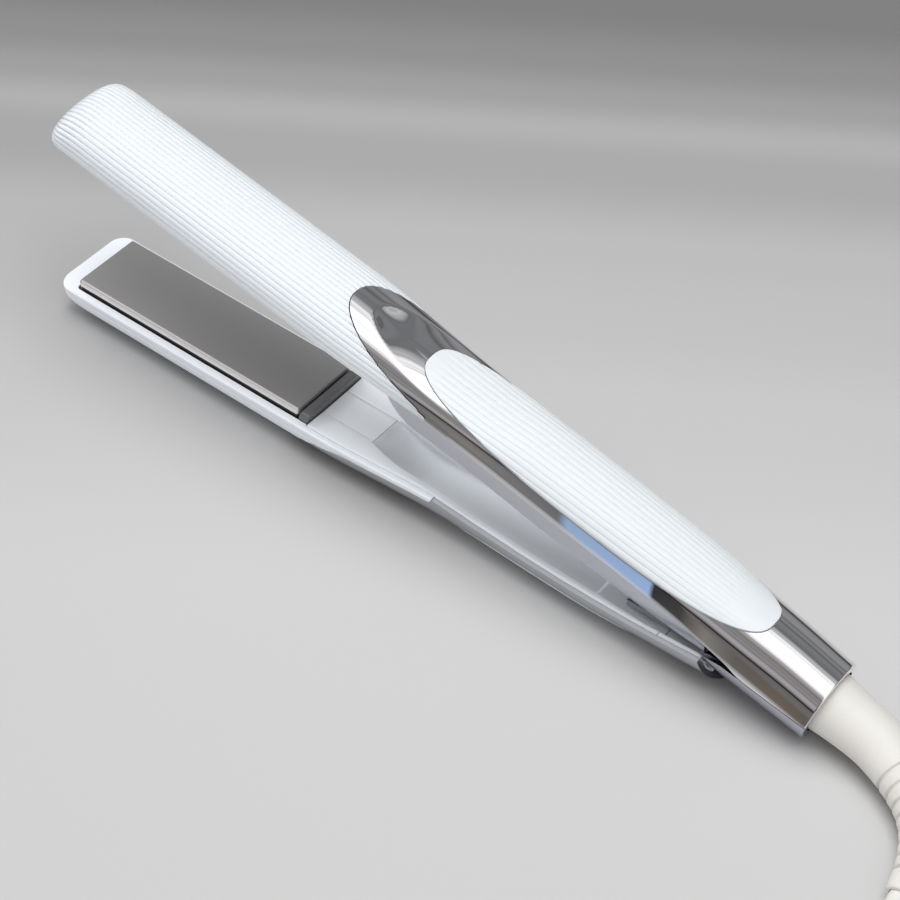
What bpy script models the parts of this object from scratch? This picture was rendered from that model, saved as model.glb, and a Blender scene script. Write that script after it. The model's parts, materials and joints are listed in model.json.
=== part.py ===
# Hair straightener (flat iron): reeded plastic arms, plated grip covers, heat plates in frames,
# a rear hinge above a hinge skirt, and a swivelling cord.  Blender 4.5, metres, +Z up.
#
# Each arm is drawn closed, in its own frame: hinge pin axis at the origin along Y, tip towards
# -X, cord towards +X, mating plane at z = 0.  "Near" is -Y and "far" is +Y.  The lower arm is
# leaned by LEAN so that the iron rests on its head and barrel, and the upper arm is opened by
# OPEN about the pin.  Lengths are millimetres, turned into metres when an object is made.
# Outlines shared by both arms hold distances from the mating plane; sign (+1 upper, -1 lower)
# puts them on their side.
import bpy
import bmesh
import math
from mathutils import Matrix, Vector

for old_object in list(bpy.data.objects):
    bpy.data.objects.remove(old_object, do_unlink=True)

MM = 0.001

# ---------------------------------------------------------------- driving dimensions
OPEN = 11.73            # opening angle at rest, degrees
LEAN = 0.85             # nose-down lean of the lower arm, degrees
RIM = 3.6               # head shell rim to mating plane
BOTTOM = 16.0           # head crown to mating plane
REST_X = -232.0         # rest point under the lower head
LAND = 0.35             # depth of the rest land at the rest point
TIP_X = -261.9          # front end of both arms
NOSE_X = -248.0         # where the nose rounding starts
PLATE_X0, PLATE_X1 = -254.3, -164.3     # heat plate ends
FRAME_X1 = -160.6       # rear end of the plate frame
LOBE_X = -155.6         # front of the upper plated cover's rounded lobe
TAIL_X = -113.0         # where the lower head shell's tails end
UP_TAIL_X = -109.6      # where the upper head shell's tails end
BARREL_X = 14.5         # rear end of the barrel
BARREL_Z = -5.0         # barrel centre height
LOW_END_R = 21.9        # radius about the hinge pin that ends the lower arm
LIP_R = 21.3            # radius of the barrel's front lip about the hinge pin
SHELL_WALL = 1.6
COVER_WALL = 1.4
PANEL_WALL = 0.6        # lower inner panel
SKIRT_WALL = 1.0
GAP = 0.3               # clearance between neighbouring parts
PIN_R = 2.0
POWER = 2.3             # superellipse power of the arm sections
REACH = 30.0            # how far crosswise cutters reach to each side

# ---------------------------------------------------------------- materials
PALE = (0.74, 0.83, 0.87)
FINISHES = {
    "shell": dict(color=PALE, roughness=0.22),
    "panel": dict(color=(0.72, 0.79, 0.84), roughness=0.3),
    "chrome": dict(color=(0.78, 0.78, 0.80), roughness=0.05, metallic=1.0),
    "satin": dict(color=(0.62, 0.62, 0.66), roughness=0.2, metallic=1.0),
    "plate": dict(color=(0.22, 0.22, 0.225), roughness=0.35, metallic=1.0),
    "frame": dict(color=(0.11, 0.11, 0.12), roughness=0.5),
    "steel": dict(color=(0.6, 0.6, 0.6), roughness=0.3, metallic=1.0),
    "spring": dict(color=(0.45, 0.45, 0.46), roughness=0.3, metallic=1.0),
    "brass": dict(color=(0.7, 0.5, 0.2), roughness=0.3, metallic=1.0),
    "ceramic": dict(color=(0.85, 0.82, 0.76), roughness=0.6),
    "silicone": dict(color=(0.55, 0.12, 0.08), roughness=0.6),
    "board": dict(color=(0.03, 0.22, 0.08), roughness=0.45),
    "black": dict(color=(0.02, 0.02, 0.02), roughness=0.4),
    "wire": dict(color=(0.75, 0.75, 0.7), roughness=0.5),
    "boot": dict(color=(0.78, 0.76, 0.71), roughness=0.5),
    "lens": dict(color=(0.9, 0.95, 1.0), roughness=0.2),
}


def make_material(name, color, roughness, metallic=0.0):
    material = bpy.data.materials.new(name)
    material.use_nodes = True
    shader = material.node_tree.nodes["Principled BSDF"]
    shader.inputs["Base Color"].default_value = (*color, 1)
    shader.inputs["Roughness"].default_value = roughness
    shader.inputs["Metallic"].default_value = metallic
    return material


def own_finish(name, mat):
    """Each piece carries its own material, named after it."""
    return make_material(name + "_finish", **FINISHES[mat])


# ---------------------------------------------------------------- objects and moving frames
BODY = bpy.data.collections.new("flat_iron")
CUTTERS = bpy.data.collections.new("cutters")
bpy.context.scene.collection.children.link(BODY)
bpy.context.scene.collection.children.link(CUTTERS)


def add_object(name, data, parent=None, collection=BODY):
    ob = bpy.data.objects.new(name, data)
    collection.objects.link(ob)
    ob.parent = parent
    return ob


def empty(name, matrix):
    ob = add_object(name, None)
    ob.empty_display_size = 0.01
    ob.matrix_world = matrix
    return ob


def rot_y(degrees):
    return Matrix.Rotation(math.radians(degrees), 4, "Y")


def shift(point):
    return Matrix.Translation(Vector(point) * MM)


# the rest point of the lower head stands on the world origin
LEANED = rot_y(-LEAN)
PIVOT = -(LEANED @ Vector((REST_X, 0, -BOTTOM + LAND)))
SWIVEL = Vector((12.0, 0, BARREL_Z))
M_LOW = shift(PIVOT) @ LEANED
M_UP = shift(PIVOT) @ rot_y(OPEN - LEAN)
M_CORD = M_UP @ shift(SWIVEL)
LOWER = empty("lower_arm_axis", M_LOW)
UPPER = empty("upper_arm_axis", M_UP)
LOWER_PLATE = empty("lower_plate_axis", M_LOW)
UPPER_PLATE = empty("upper_plate_axis", M_UP)
CORD = empty("cord_swivel_axis", M_CORD)

# by sign
SIDE = {1: "upper", -1: "lower"}
ARM = {1: UPPER, -1: LOWER}
PLATE_AXIS = {1: UPPER_PLATE, -1: LOWER_PLATE}


# ---------------------------------------------------------------- solids
# A solid made without a material is a hidden cutter.
def finish(bm, name, parent, mat, smooth=35):
    bmesh.ops.remove_doubles(bm, verts=bm.verts, dist=1e-6)
    bmesh.ops.recalc_face_normals(bm, faces=bm.faces)
    mesh = bpy.data.meshes.new(name)
    bm.to_mesh(mesh)
    bm.free()
    if mat is None:
        cutter = add_object(name, mesh, parent, CUTTERS)
        cutter.hide_render = True
        cutter.display_type = "WIRE"
        return cutter
    mesh.materials.append(own_finish(name, mat))
    mesh.shade_smooth()
    mesh.set_sharp_from_angle(angle=math.radians(smooth))
    return add_object(name, mesh, parent)


def loft(name, rings, parent, mat=None, smooth=35):
    """Closed solid through rings of equal point count."""
    bm = bmesh.new()
    rows = [[bm.verts.new(Vector(p) * MM) for p in ring] for ring in rings]
    count = len(rings[0])
    for a, b in zip(rows[:-1], rows[1:]):
        for i in range(count):
            j = (i + 1) % count
            bm.faces.new((a[i], a[j], b[j], b[i]))
    bm.faces.new(rows[0])
    bm.faces.new(list(reversed(rows[-1])))
    return finish(bm, name, parent, mat, smooth)


def loft_x(name, stations, sign, parent, mat=None, smooth=35):
    """Loft along X through stations of (x, outline of (y, z))."""
    rings = [[(x, y, sign * z) for y, z in outline] for x, outline in stations]
    return loft(name, rings, parent, mat, smooth)


def prism_z(name, outline, z0, z1, parent):
    return loft(name, [[(x, y, z) for x, y in outline] for z in (z0, z1)], parent)


def prism_y(name, outline, half, parent, mat=None):
    return loft(name, [[(x, y, z) for x, z in outline] for y in (-half, half)], parent, mat)


def box(name, corner, opposite, parent, mat=None, bevel=0.0):
    low = Vector([min(pair) for pair in zip(corner, opposite)])
    high = Vector([max(pair) for pair in zip(corner, opposite)])
    bm = bmesh.new()
    bmesh.ops.create_cube(bm, size=1.0)
    bmesh.ops.scale(bm, vec=(high - low) * MM, verts=bm.verts)
    bmesh.ops.translate(bm, vec=(high + low) * 0.5 * MM, verts=bm.verts)
    ob = finish(bm, name, parent, mat)
    if bevel:
        edge = ob.modifiers.new("edge", "BEVEL")
        edge.width = bevel * MM
        edge.segments = 1
    return ob


def cylinder(name, start, end, radius, parent, mat=None, segments=20):
    start, end = Vector(start), Vector(end)
    axis = end - start
    bm = bmesh.new()
    bmesh.ops.create_cone(bm, cap_ends=True, segments=segments, radius1=radius * MM,
                          radius2=radius * MM, depth=axis.length * MM)
    turn = axis.to_track_quat("Z", "Y").to_matrix().to_4x4()
    bm.transform(shift((start + end) * 0.5) @ turn)
    return finish(bm, name, parent, mat)


def pin_cylinder(name, y0, y1, radius, parent, mat=None, segments=24):
    """Cylinder on the hinge pin axis."""
    return cylinder(name, (0, y0, 0), (0, y1, 0), radius, parent, mat, segments)


def revolve(name, profile, steps, parent, mat, at=(0, 0, 0)):
    """Profile of (radius, z) spun about the vertical axis through `at`."""
    bm = bmesh.new()
    verts = [bm.verts.new((radius * MM, 0, z * MM)) for radius, z in profile]
    for a, b in zip(verts[:-1], verts[1:]):
        bm.edges.new((a, b))
    bmesh.ops.spin(bm, geom=list(bm.verts) + list(bm.edges), cent=(0, 0, 0), axis=(0, 0, 1),
                   angle=2 * math.pi, steps=steps, use_merge=True)
    bmesh.ops.translate(bm, vec=Vector(at) * MM, verts=bm.verts)
    return finish(bm, name, parent, mat)


def boolean(ob, cutter, operation="DIFFERENCE"):
    modifier = ob.modifiers.new(operation.lower(), "BOOLEAN")
    modifier.operation = operation
    modifier.object = cutter
    modifier.solver = "EXACT"


def wire(name, points, radius, parent, mat):
    """Round wire as a POLY curve with filled caps."""
    curve = bpy.data.curves.new(name, "CURVE")
    curve.dimensions = "3D"
    spline = curve.splines.new("POLY")
    spline.points.add(len(points) - 1)
    for spline_point, p in zip(spline.points, points):
        spline_point.co = (p[0] * MM, p[1] * MM, p[2] * MM, 1)
    curve.bevel_depth = radius * MM
    curve.bevel_resolution = 1
    curve.resolution_u = 1
    curve.render_resolution_u = 0
    curve.use_fill_caps = True
    curve.materials.append(own_finish(name, mat))
    return add_object(name, curve, parent)


# ---------------------------------------------------------------- lines and outlines
def law(table):
    """Piecewise linear value along x from (x, value) rows, held constant past both ends."""
    def value(x):
        if x <= table[0][0]:
            return table[0][1]
        for (x0, v0), (x1, v1) in zip(table[:-1], table[1:]):
            if x <= x1:
                return v0 + (v1 - v0) * (x - x0) / (x1 - x0)
        return table[-1][1]
    return value


def even(count):
    return [i / (count - 1) for i in range(count)]


def along(line, marks):
    """Points at the given fractions of the line's length, each with its outward normal."""
    dist = [0.0]
    for p, q in zip(line[:-1], line[1:]):
        dist.append(dist[-1] + math.hypot(q[0] - p[0], q[1] - p[1]))
    points, i = [], 0
    for mark in marks:
        goal = mark * dist[-1]
        while i < len(dist) - 2 and dist[i + 1] < goal:
            i += 1
        t = (goal - dist[i]) / max(dist[i + 1] - dist[i], 1e-9)
        p, q = line[i], line[i + 1]
        dy, dz = q[0] - p[0], q[1] - p[1]
        length = math.hypot(dy, dz) or 1.0
        points.append((p[0] + dy * t, p[1] + dz * t, -dz / length, dy / length))
    return points


def respaced(line, count):
    return [(y, z) for y, z, _, _ in along(line, even(count))]


def arc(radius, start, end, steps):
    """Arc about the hinge pin in (x, z), angles in degrees from +X."""
    angles = [math.radians(start + (end - start) * i / steps) for i in range(steps + 1)]
    return [(radius * math.cos(a), radius * math.sin(a)) for a in angles]


def quarter(start, steps, power=POWER):
    """Unit superellipse points from the angle `start` up to 90 degrees."""
    points = []
    for i in range(steps + 1):
        angle = start + (math.pi / 2 - start) * i / steps
        points.append((max(math.cos(angle), 0.0) ** (2 / power), math.sin(angle) ** (2 / power)))
    return points


def quarter_angle(height):
    """Angle at which the unit superellipse reaches a height."""
    return math.asin(min(1.0, height ** (POWER / 2)))


def complement(t, power=POWER):
    """Other coordinate of the unit superellipse where one coordinate is t."""
    return max(1 - t ** power, 0.0) ** (1 / power)


def superellipse(centre_x, half_length, half_width, power, count=48):
    points = []
    for i in range(count):
        angle = 2 * math.pi * i / count
        c, s = math.cos(angle), math.sin(angle)
        points.append((centre_x + half_length * math.copysign(abs(c) ** (2 / power), c),
                       half_width * math.copysign(abs(s) ** (2 / power), s)))
    return points


def with_far_side(near):
    """A (y, z) line followed by its mirror image, walked back."""
    return near + [(-y, z) for y, z in reversed(near)]


def symmetric(far):
    """Closed outline from its far half, starting at the near copy of the first point."""
    return [(-far[0][0], far[0][1])] + far + [(-y, z) for y, z in far[:0:-1]]


def smooth_path(points, count):
    """Catmull-Rom points through `points`, `count` per span."""
    knots = [Vector(p) for p in points]
    knots = [knots[0] * 2 - knots[1]] + knots + [knots[-1] * 2 - knots[-2]]
    path = []
    for i in range(1, len(knots) - 2):
        a, b, c, d = knots[i - 1:i + 3]
        for k in range(count):
            t = k / count
            path.append(0.5 * ((2 * b) + (c - a) * t + (2 * a - 5 * b + 4 * c - d) * t * t
                               + (3 * b - a - 3 * c + d) * t ** 3))
    path.append(knots[-2])
    return path


# ---------------------------------------------------------------- section laws along the arm
# rows of (x, value); heights are distances from the mating plane on the arm's own side
HEAD_WIDTHS = [(-154, 14.7), (-146, 14.5), (-138, 14.1), (-128, 13.6), (-118, 13.05),
               (-108, 12.75)]
upper_width = law(HEAD_WIDTHS + [(-95, 12.6), (-30, 12.4), (BARREL_X, 11.7)])
upper_crown = law([
    (-160, 16.0), (-150, 15.7), (-140, 14.9), (-128, 14.0), (-115, 13.5), (-84, 13.2),
    (-55, 12.4), (-25, 10.8), (-10, 9.4), (0, 8.5), (BARREL_X, 6.6)])
upper_middle = law([
    (-160, 5.0), (-100, 4.2), (-84, 3.6), (-30, 0.8), (-20, -1.0), (0, -3.3),
    (BARREL_X, BARREL_Z)])
upper_bottom = law([(-84, -16.0), (BARREL_X, -16.6)])
upper_rim = law([
    (TAIL_X, RIM), (-100, 2.7), (-75, 1.7), (-42, 0.9), (-28, -0.3), (-18, -1.8), (-12, -3.0),
    (-8, -4.6), (-4, BARREL_Z), (BARREL_X, BARREL_Z)])
lower_width = law(HEAD_WIDTHS + [(-95, 12.65), (-80, 12.7), (-60, 12.75), (-40, 12.6),
                                 (-20, 12.35)])
lower_crown = law([
    (-160, 16.0), (-150, 15.8), (-135, 15.2), (-118, 14.9), (-100, 15.2), (-80, 16.2),
    (-60, 16.8), (-40, 16.3), (-20, 15.9)])
lower_middle = law([
    (-160, 5.0), (-118, 4.8), (-100, 5.2), (-80, 6.2), (-60, 6.8), (-40, 6.0), (-20, 5.2)])
lower_rim = law([
    (-118, RIM), (-113, 3.85), (-106, 4.6), (-98, 5.4), (-88, 6.1), (-76, 6.7), (-60, 7.0),
    (-44, 6.9), (-32, 6.3), (-20, 5.6)])

# by sign: half width, crown, height of the widest point, bottom of the full section
SECTION = {1: (upper_width, upper_crown, upper_middle, upper_bottom),
           -1: (lower_width, lower_crown, lower_middle, lambda x: -30.0)}
COVER_RIM = {1: upper_rim, -1: lower_rim}


def section(x, base, inset, sign):
    """Outer line from the near side at height `base` over the crown to the far side."""
    width, crown, middle, bottom = [value(x) for value in SECTION[sign]]
    width -= inset
    crown -= inset
    bottom += inset
    left = []
    start = 0.0
    if base < middle:
        for i in range(16):
            z = base + (middle - base) * i / 16
            left.append((-width * complement((middle - z) / (middle - bottom)), z))
    else:
        start = quarter_angle((base - middle) / (crown - middle))
    left += [(-width * c, middle + (crown - middle) * s) for c, s in quarter(start, 160)]
    return left + [(-y, z) for y, z in reversed(left[:-1])]


REED_DEPTH = 0.36


def reed_marks(count, band):
    """Line fractions and valley flags for `count` reeds between two smooth bands."""
    samples = 3         # points per reed, the first in its valley
    marks, valleys = [0.0], [False]
    for k in range(count):
        for j in range(samples):
            marks.append(band + (1 - 2 * band) * (k + j / samples) / count)
            valleys.append(j == 0)
    return marks + [1 - band, 1.0], valleys + [True, False]


def dome(name, xs, base, sign, parent, mat=None, count=29, inset=0.0, reeds=None,
         reed_fade=None, nose=None, smooth=35):
    """D-shaped solid between the arm's section line and its chord at height base(x).

    nose(x) gives scales for the height above the chord and for the width.
    """
    marks, valleys = reeds or (even(count), [False] * count)
    stations = []
    for x in xs:
        level = base(x)
        height_scale, width_scale = nose(x) if nose else (1.0, 1.0)
        depth = REED_DEPTH * (reed_fade(x) if reed_fade else 1.0)
        outline = []
        points = along(section(x, level, inset, sign), marks)
        for (y, z, normal_y, normal_z), valley in zip(points, valleys):
            if valley:
                y -= normal_y * depth
                z -= normal_z * depth
            outline.append((y * width_scale, level + (z - level) * height_scale))
        stations.append((x, outline))
    return loft_x(name, stations, sign, parent, mat, smooth)


# ---------------------------------------------------------------- joint of head and grip cover
LOBE_END_X = -108.0     # where the upper cover's lobe has its full width
LOBE_POWER = 2.3
JOINT_GAP = {1: 0.15, -1: 0.1}          # by sign, taken from each side of the joint
# side line (x, z) of the lower cover's front, from under the head back and up to its tail
BELT = [(-172.5, -17.2), (-170.5, -14.8), (-167.0, -12.3), (-163.0, -10.2), (-157.0, -8.2),
        (-150.0, -6.7), (-142.0, -5.9), (-130.0, -5.5), (TAIL_X - 1.4, -5.35),
        (TAIL_X - 0.4, -4.9), (TAIL_X, -4.0), (TAIL_X, -2.0)]


def lobe_outline(grow, rear):
    """Plan outline of the upper cover's front lobe, grown by `grow`, run back to x = rear."""
    edge = []
    for c, s in quarter(0.0, 18, LOBE_POWER):
        x = LOBE_END_X - (LOBE_END_X - LOBE_X) * c
        edge.append((x, upper_width(x) * s))
    side = [(edge[0][0] - grow, 0.0)]
    for i in range(1, len(edge)):
        x0, y0 = edge[i - 1]
        x1, y1 = edge[min(i + 1, len(edge) - 1)]
        length = math.hypot(x1 - x0, y1 - y0)
        x, y = edge[i]
        side.append((x - (y1 - y0) / length * grow, y + (x1 - x0) / length * grow))
    side = [(x, y) for x, y in side if x < UP_TAIL_X]
    side += [(UP_TAIL_X + 0.5, 20.0), (rear, 20.0)]
    return side[::-1] + [(x, -y) for x, y in side[1:]]


def belt_outline(grow):
    """Side outline of the lower cover, its front edge grown by `grow`."""
    moved = [(x - grow, z + grow) for x, z in BELT[:9]]
    moved += [(x - grow, z + grow * 0.5) for x, z in BELT[9:]]
    return moved + [(60.0, -2.0), (60.0, -40.0), (BELT[0][0] - grow, -40.0)]


def joint_solid(name, sign, grow, rear):
    """The space behind the joint: a lobe in plan above, a belt seen from the side below."""
    if sign > 0:
        return prism_z(name + "_lobe", lobe_outline(grow, rear), -40, 40, UPPER)
    return prism_y(name + "_belt", belt_outline(grow), REACH, LOWER)


# ---------------------------------------------------------------- head shells
REEDS = 23              # reeds around a head shell
MOUTH_W = 12.5          # half width of the mouth round the heat plate
FLANGE = 0.9            # thickness of the rim flange round the mouth
NOSE_POWER = 2.4
NOSE_MIN = 0.16         # least height scale, at the very tip
NOSE_CORNER = 5.0       # plan radius of the nose corners
FLARE_XS = [-155.0, -146.0, -137.0, -128.0, -118.0]
HEAD_XS = [TIP_X, -261.4, -260.2, -258.2, -255.2, -251.6, NOSE_X, -200.0] + FLARE_XS + [-106.0]
HOLLOW_XS = [-255.7, -251.0, -247.0] + FLARE_XS + [-98.0]
OPENING_XS = [FRAME_X1 + 0.15] + FLARE_XS + [-98.0]
hollow_height = law([(-255.7, 0.90), (-251.0, 0.97), (-247.0, 1.0)])


def nose_scales(x):
    t = min(max((NOSE_X - x) / (NOSE_X - TIP_X), 0.0), 1.0)
    back = min(max(x - TIP_X, 0.0), NOSE_CORNER)
    round_off = 1 - math.sqrt(max(1 - ((NOSE_CORNER - back) / NOSE_CORNER) ** 2, 0.0))
    width_scale = 1 - (NOSE_CORNER / upper_width(TIP_X)) * round_off
    return max(complement(t, NOSE_POWER), NOSE_MIN), width_scale


def head_shell(sign):
    name = SIDE[sign] + "_head_shell"
    arm = ARM[sign]
    shell = dome(name, HEAD_XS, lambda x: RIM, sign, arm, "shell",
                 reeds=reed_marks(REEDS, 0.06), nose=nose_scales, smooth=25)
    boolean(shell, dome(name + "_hollow", HOLLOW_XS, lambda x: RIM + FLANGE, sign, arm,
                        count=25, inset=SHELL_WALL, nose=lambda x: (hollow_height(x), 1.0)))
    boolean(shell, box(name + "_mouth", (-255.4, -MOUTH_W, sign * 1.0),
                       (-158.0, MOUTH_W, sign * (RIM + 1.6)), arm))
    # behind the plate frame the rim has no flange
    boolean(shell, dome(name + "_rear_opening", OPENING_XS, lambda x: RIM - 1.0, sign, arm,
                        count=25, inset=SHELL_WALL))
    boolean(shell, joint_solid(name, sign, JOINT_GAP[sign], -60.0))
    return shell


def head_land(shell):
    """The lower head is cut flat at z = 0 in world space, where it stands."""
    boolean(shell, box("head_land", (-100, -40, -30), (300, 40, 0), None))


# ---------------------------------------------------------------- plated covers, grip inlays
HOLLOW_LEAD = 3.0       # how far a hollow starts ahead of its cover
BARREL_END_WALL = 1.5
COVER_XS = {
    1: [-158.0, -150.0, -142.0, -134.0, -125.0, -113.0, -100.0, -84.0, -55.0, -42.0, -28.0,
        -18.0, -12.0, -8.0, -4.0, 4.0, BARREL_X],
    -1: [-176.0, -166.0, -158.0, -150.0, -142.0, -134.0, -125.0, -118.0, -113.0, -106.0,
         -98.0, -88.0, -76.0, -60.0, -44.0, -32.0, -20.0, -10.0]}
# rear end of a cover to rear end of its hollow: closed above, open below
HOLLOW_END = {1: -BARREL_END_WALL, -1: 6.0}
GRIP_PLAN = {1: (-67.6, 59.7), -1: (-78.0, 49.0)}       # by sign: centre x, half length
GRIP_W, GRIP_POWER = 11.6, 3.0          # half width and superellipse power in plan
GRIP_XS = [-134.0, -120.0, -105.0, -84.0, -55.0, -30.0, -14.0, -4.0]
GRIP_BASE = {1: 5.6, -1: 8.2}           # underside of the uncut inlay
GRIP_REEDS = 15
GRIP_FADE = 14.0        # length over which the reeds fade in from each end


def hollow_xs(xs, end_shift):
    return [xs[0] - HOLLOW_LEAD] + xs[1:-1] + [xs[-1] + end_shift]


def grip_prism(name, sign, grow=0.0):
    centre, half = GRIP_PLAN[sign]
    outline = superellipse(centre, half + grow, GRIP_W + grow, GRIP_POWER)
    return prism_z(name, outline, sign * 3.0, sign * 30.0, ARM[sign])


def grip_xs(sign):
    centre, half = GRIP_PLAN[sign]
    return [x for x in GRIP_XS if x < centre + half + 8]


def chrome_cover(sign, end_cutter):
    name = SIDE[sign] + "_chrome_cover"
    arm = ARM[sign]
    rim = COVER_RIM[sign]
    xs = COVER_XS[sign]
    cover = dome(name, xs, rim, sign, arm, "chrome", count=33, smooth=30)
    boolean(cover, dome(name + "_hollow", hollow_xs(xs, HOLLOW_END[sign]),
                        lambda x: rim(x) - 1.0, sign, arm, inset=COVER_WALL))
    boolean(cover, joint_solid(name, sign, -JOINT_GAP[sign], 60.0), "INTERSECT")
    # shallow seat for the inlay
    seat = grip_prism(name + "_seat", sign, GAP)
    boolean(seat, dome(name + "_seat_floor", grip_xs(sign), lambda x: 2.0, sign, arm,
                       count=25, inset=0.8))
    boolean(cover, seat)
    boolean(cover, end_cutter)


def grip_inlay(sign):
    name = SIDE[sign] + "_grip_inlay"
    arm = ARM[sign]
    centre, half = GRIP_PLAN[sign]
    xs = grip_xs(sign)

    def reed_fade(x):
        from_end = min(x - (centre - half), (centre + half) - x)
        return min(max(from_end / GRIP_FADE, 0.0), 1.0) * 0.75
    inlay = dome(name, xs, lambda x: GRIP_BASE[sign], sign, arm, "shell", inset=-0.2,
                 reeds=reed_marks(GRIP_REEDS, 0.05), reed_fade=reed_fade, smooth=25)
    under_xs = [xs[0] - 2] + xs[1:-1] + [xs[-1] + 2]
    boolean(inlay, dome(name + "_under", under_xs, lambda x: 2.5, sign, arm, count=25,
                        inset=0.5))
    boolean(inlay, grip_prism(name + "_outline", sign), "INTERSECT")


# ---------------------------------------------------------------- barrel lower cover
# rides with the upper arm
BARREL_XS = [-24.0, -18.0, -12.0, -8.0, -4.0, 4.0, BARREL_X]


def barrel_stations(xs, inset, raised=0.0):
    """Lower halves of the upper arm's sections, with their two top corners raised."""
    stations = []
    for x in xs:
        width = upper_width(x) - inset
        middle = upper_middle(x)
        depth = middle - (upper_bottom(x) + inset)
        start = quarter_angle((middle - min(upper_rim(x) - GAP, middle)) / depth)
        left = [(-width * c, middle - depth * s) for c, s in quarter(start, 79)]
        outline = respaced(left + [(-y, z) for y, z in reversed(left[:-1])], 27)
        for i in (0, -1):
            y, z = outline[i]
            outline[i] = (y, z + raised)
        stations.append((x, outline))
    return stations


def barrel_lower_cover(cord_hole):
    barrel = loft_x("barrel_lower_cover", barrel_stations(BARREL_XS, 0.0), 1, UPPER, "chrome")
    inner_xs = hollow_xs(BARREL_XS, -BARREL_END_WALL)
    boolean(barrel, loft_x("barrel_hollow", barrel_stations(inner_xs, COVER_WALL, 4.0), 1, UPPER))
    boolean(barrel, cord_hole)
    # front wall, curved about the hinge pin and slotted for the hinge arm
    wall = arc(LIP_R + 0.5, -165.5, -107.5, 10) + arc(LIP_R - 1.3, -107.5, -165.5, 10)
    front = prism_y("barrel_front_wall", wall, REACH, UPPER)
    core = loft_x("barrel_core", barrel_stations(BARREL_XS, 0.7, 0.4), 1, UPPER)
    boolean(front, core, "INTERSECT")
    boolean(front, box("barrel_slot", (-30, -5.2, -15.3), (0, 5.2, 0), UPPER))
    boolean(barrel, front, "UNION")
    # everything ahead of the curved front lip
    lip = arc(LIP_R, -62, -160.5, 12)
    lip = [(-60.0, 6.0), (-60.0, -40.0), (lip[0][0], -40.0)] + lip
    lip += [(-13.5, -5.2), (-8.2, -5.15), (-8.2, 6.0)]
    boolean(barrel, prism_y("barrel_lip_cut", lip, REACH, UPPER))


# ---------------------------------------------------------------- heat plates, heaters, frames
PLATE_W = 12.05         # half width of the heat plate
PLATE_FACE = 0.2        # working face to mating plane
PLATE_BACK, PLATE_FLOOR = 5.8, 1.9      # top of the plate's side walls, floor between them
PLATE_END = 0.6         # length of the bevel at each end
BAY_GAP = 0.45          # plate end to frame
FRAME_LIP_TOP = 1.3     # frame's rear lip to mating plane
CUSHIONS = (("front", -244, -236), ("rear", -186, -178.5))      # name, x range


def plate_profile(side_y, side_z, face_y, face_z):
    """U-shaped section with its outer side, bevel and face at the given places."""
    inner_y = PLATE_W - 2
    return [(-side_y, PLATE_BACK), (-side_y, side_z), (-face_y, face_z), (face_y, face_z),
            (side_y, side_z), (side_y, PLATE_BACK), (inner_y, PLATE_BACK),
            (inner_y, PLATE_FLOOR), (-inner_y, PLATE_FLOOR), (-inner_y, PLATE_BACK)]


def heat_plate(sign):
    full = plate_profile(PLATE_W, 0.95, PLATE_W - 0.65, PLATE_FACE)
    end = plate_profile(PLATE_W - 0.7, 1.5, PLATE_W - 1.4, 0.8)
    stations = [(PLATE_X0, end), (PLATE_X0 + PLATE_END, full),
                (PLATE_X1 - PLATE_END, full), (PLATE_X1, end)]
    loft_x(SIDE[sign] + "_heat_plate", stations, sign, PLATE_AXIS[sign], "plate", smooth=25)


def heater(sign):
    """Ceramic strip, the channel-shaped clip behind it and a bead beside it."""
    prefix, axis = SIDE[sign], PLATE_AXIS[sign]
    box(prefix + "_heater_strip", (-245, -7, sign * 2.2), (-173, 7, sign * 3.5), axis,
        "ceramic", bevel=0.2)
    clip = [(-9, 5.4), (-9, 3.9), (9, 3.9), (9, 5.4),
            (8.3, 5.4), (8.3, 4.6), (-8.3, 4.6), (-8.3, 5.4)]
    loft_x(prefix + "_heater_clip", [(x, clip) for x in (-240, -178)], sign, axis, "steel")
    bead = bmesh.new()
    bmesh.ops.create_uvsphere(bead, u_segments=10, v_segments=6, radius=0.75 * MM)
    bmesh.ops.scale(bead, vec=(1.9, 1, 1), verts=bead.verts)
    bmesh.ops.translate(bead, vec=Vector((-209, 8.45, sign * 2.95)) * MM, verts=bead.verts)
    finish(bead, prefix + "_thermistor", axis, "black")


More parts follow.
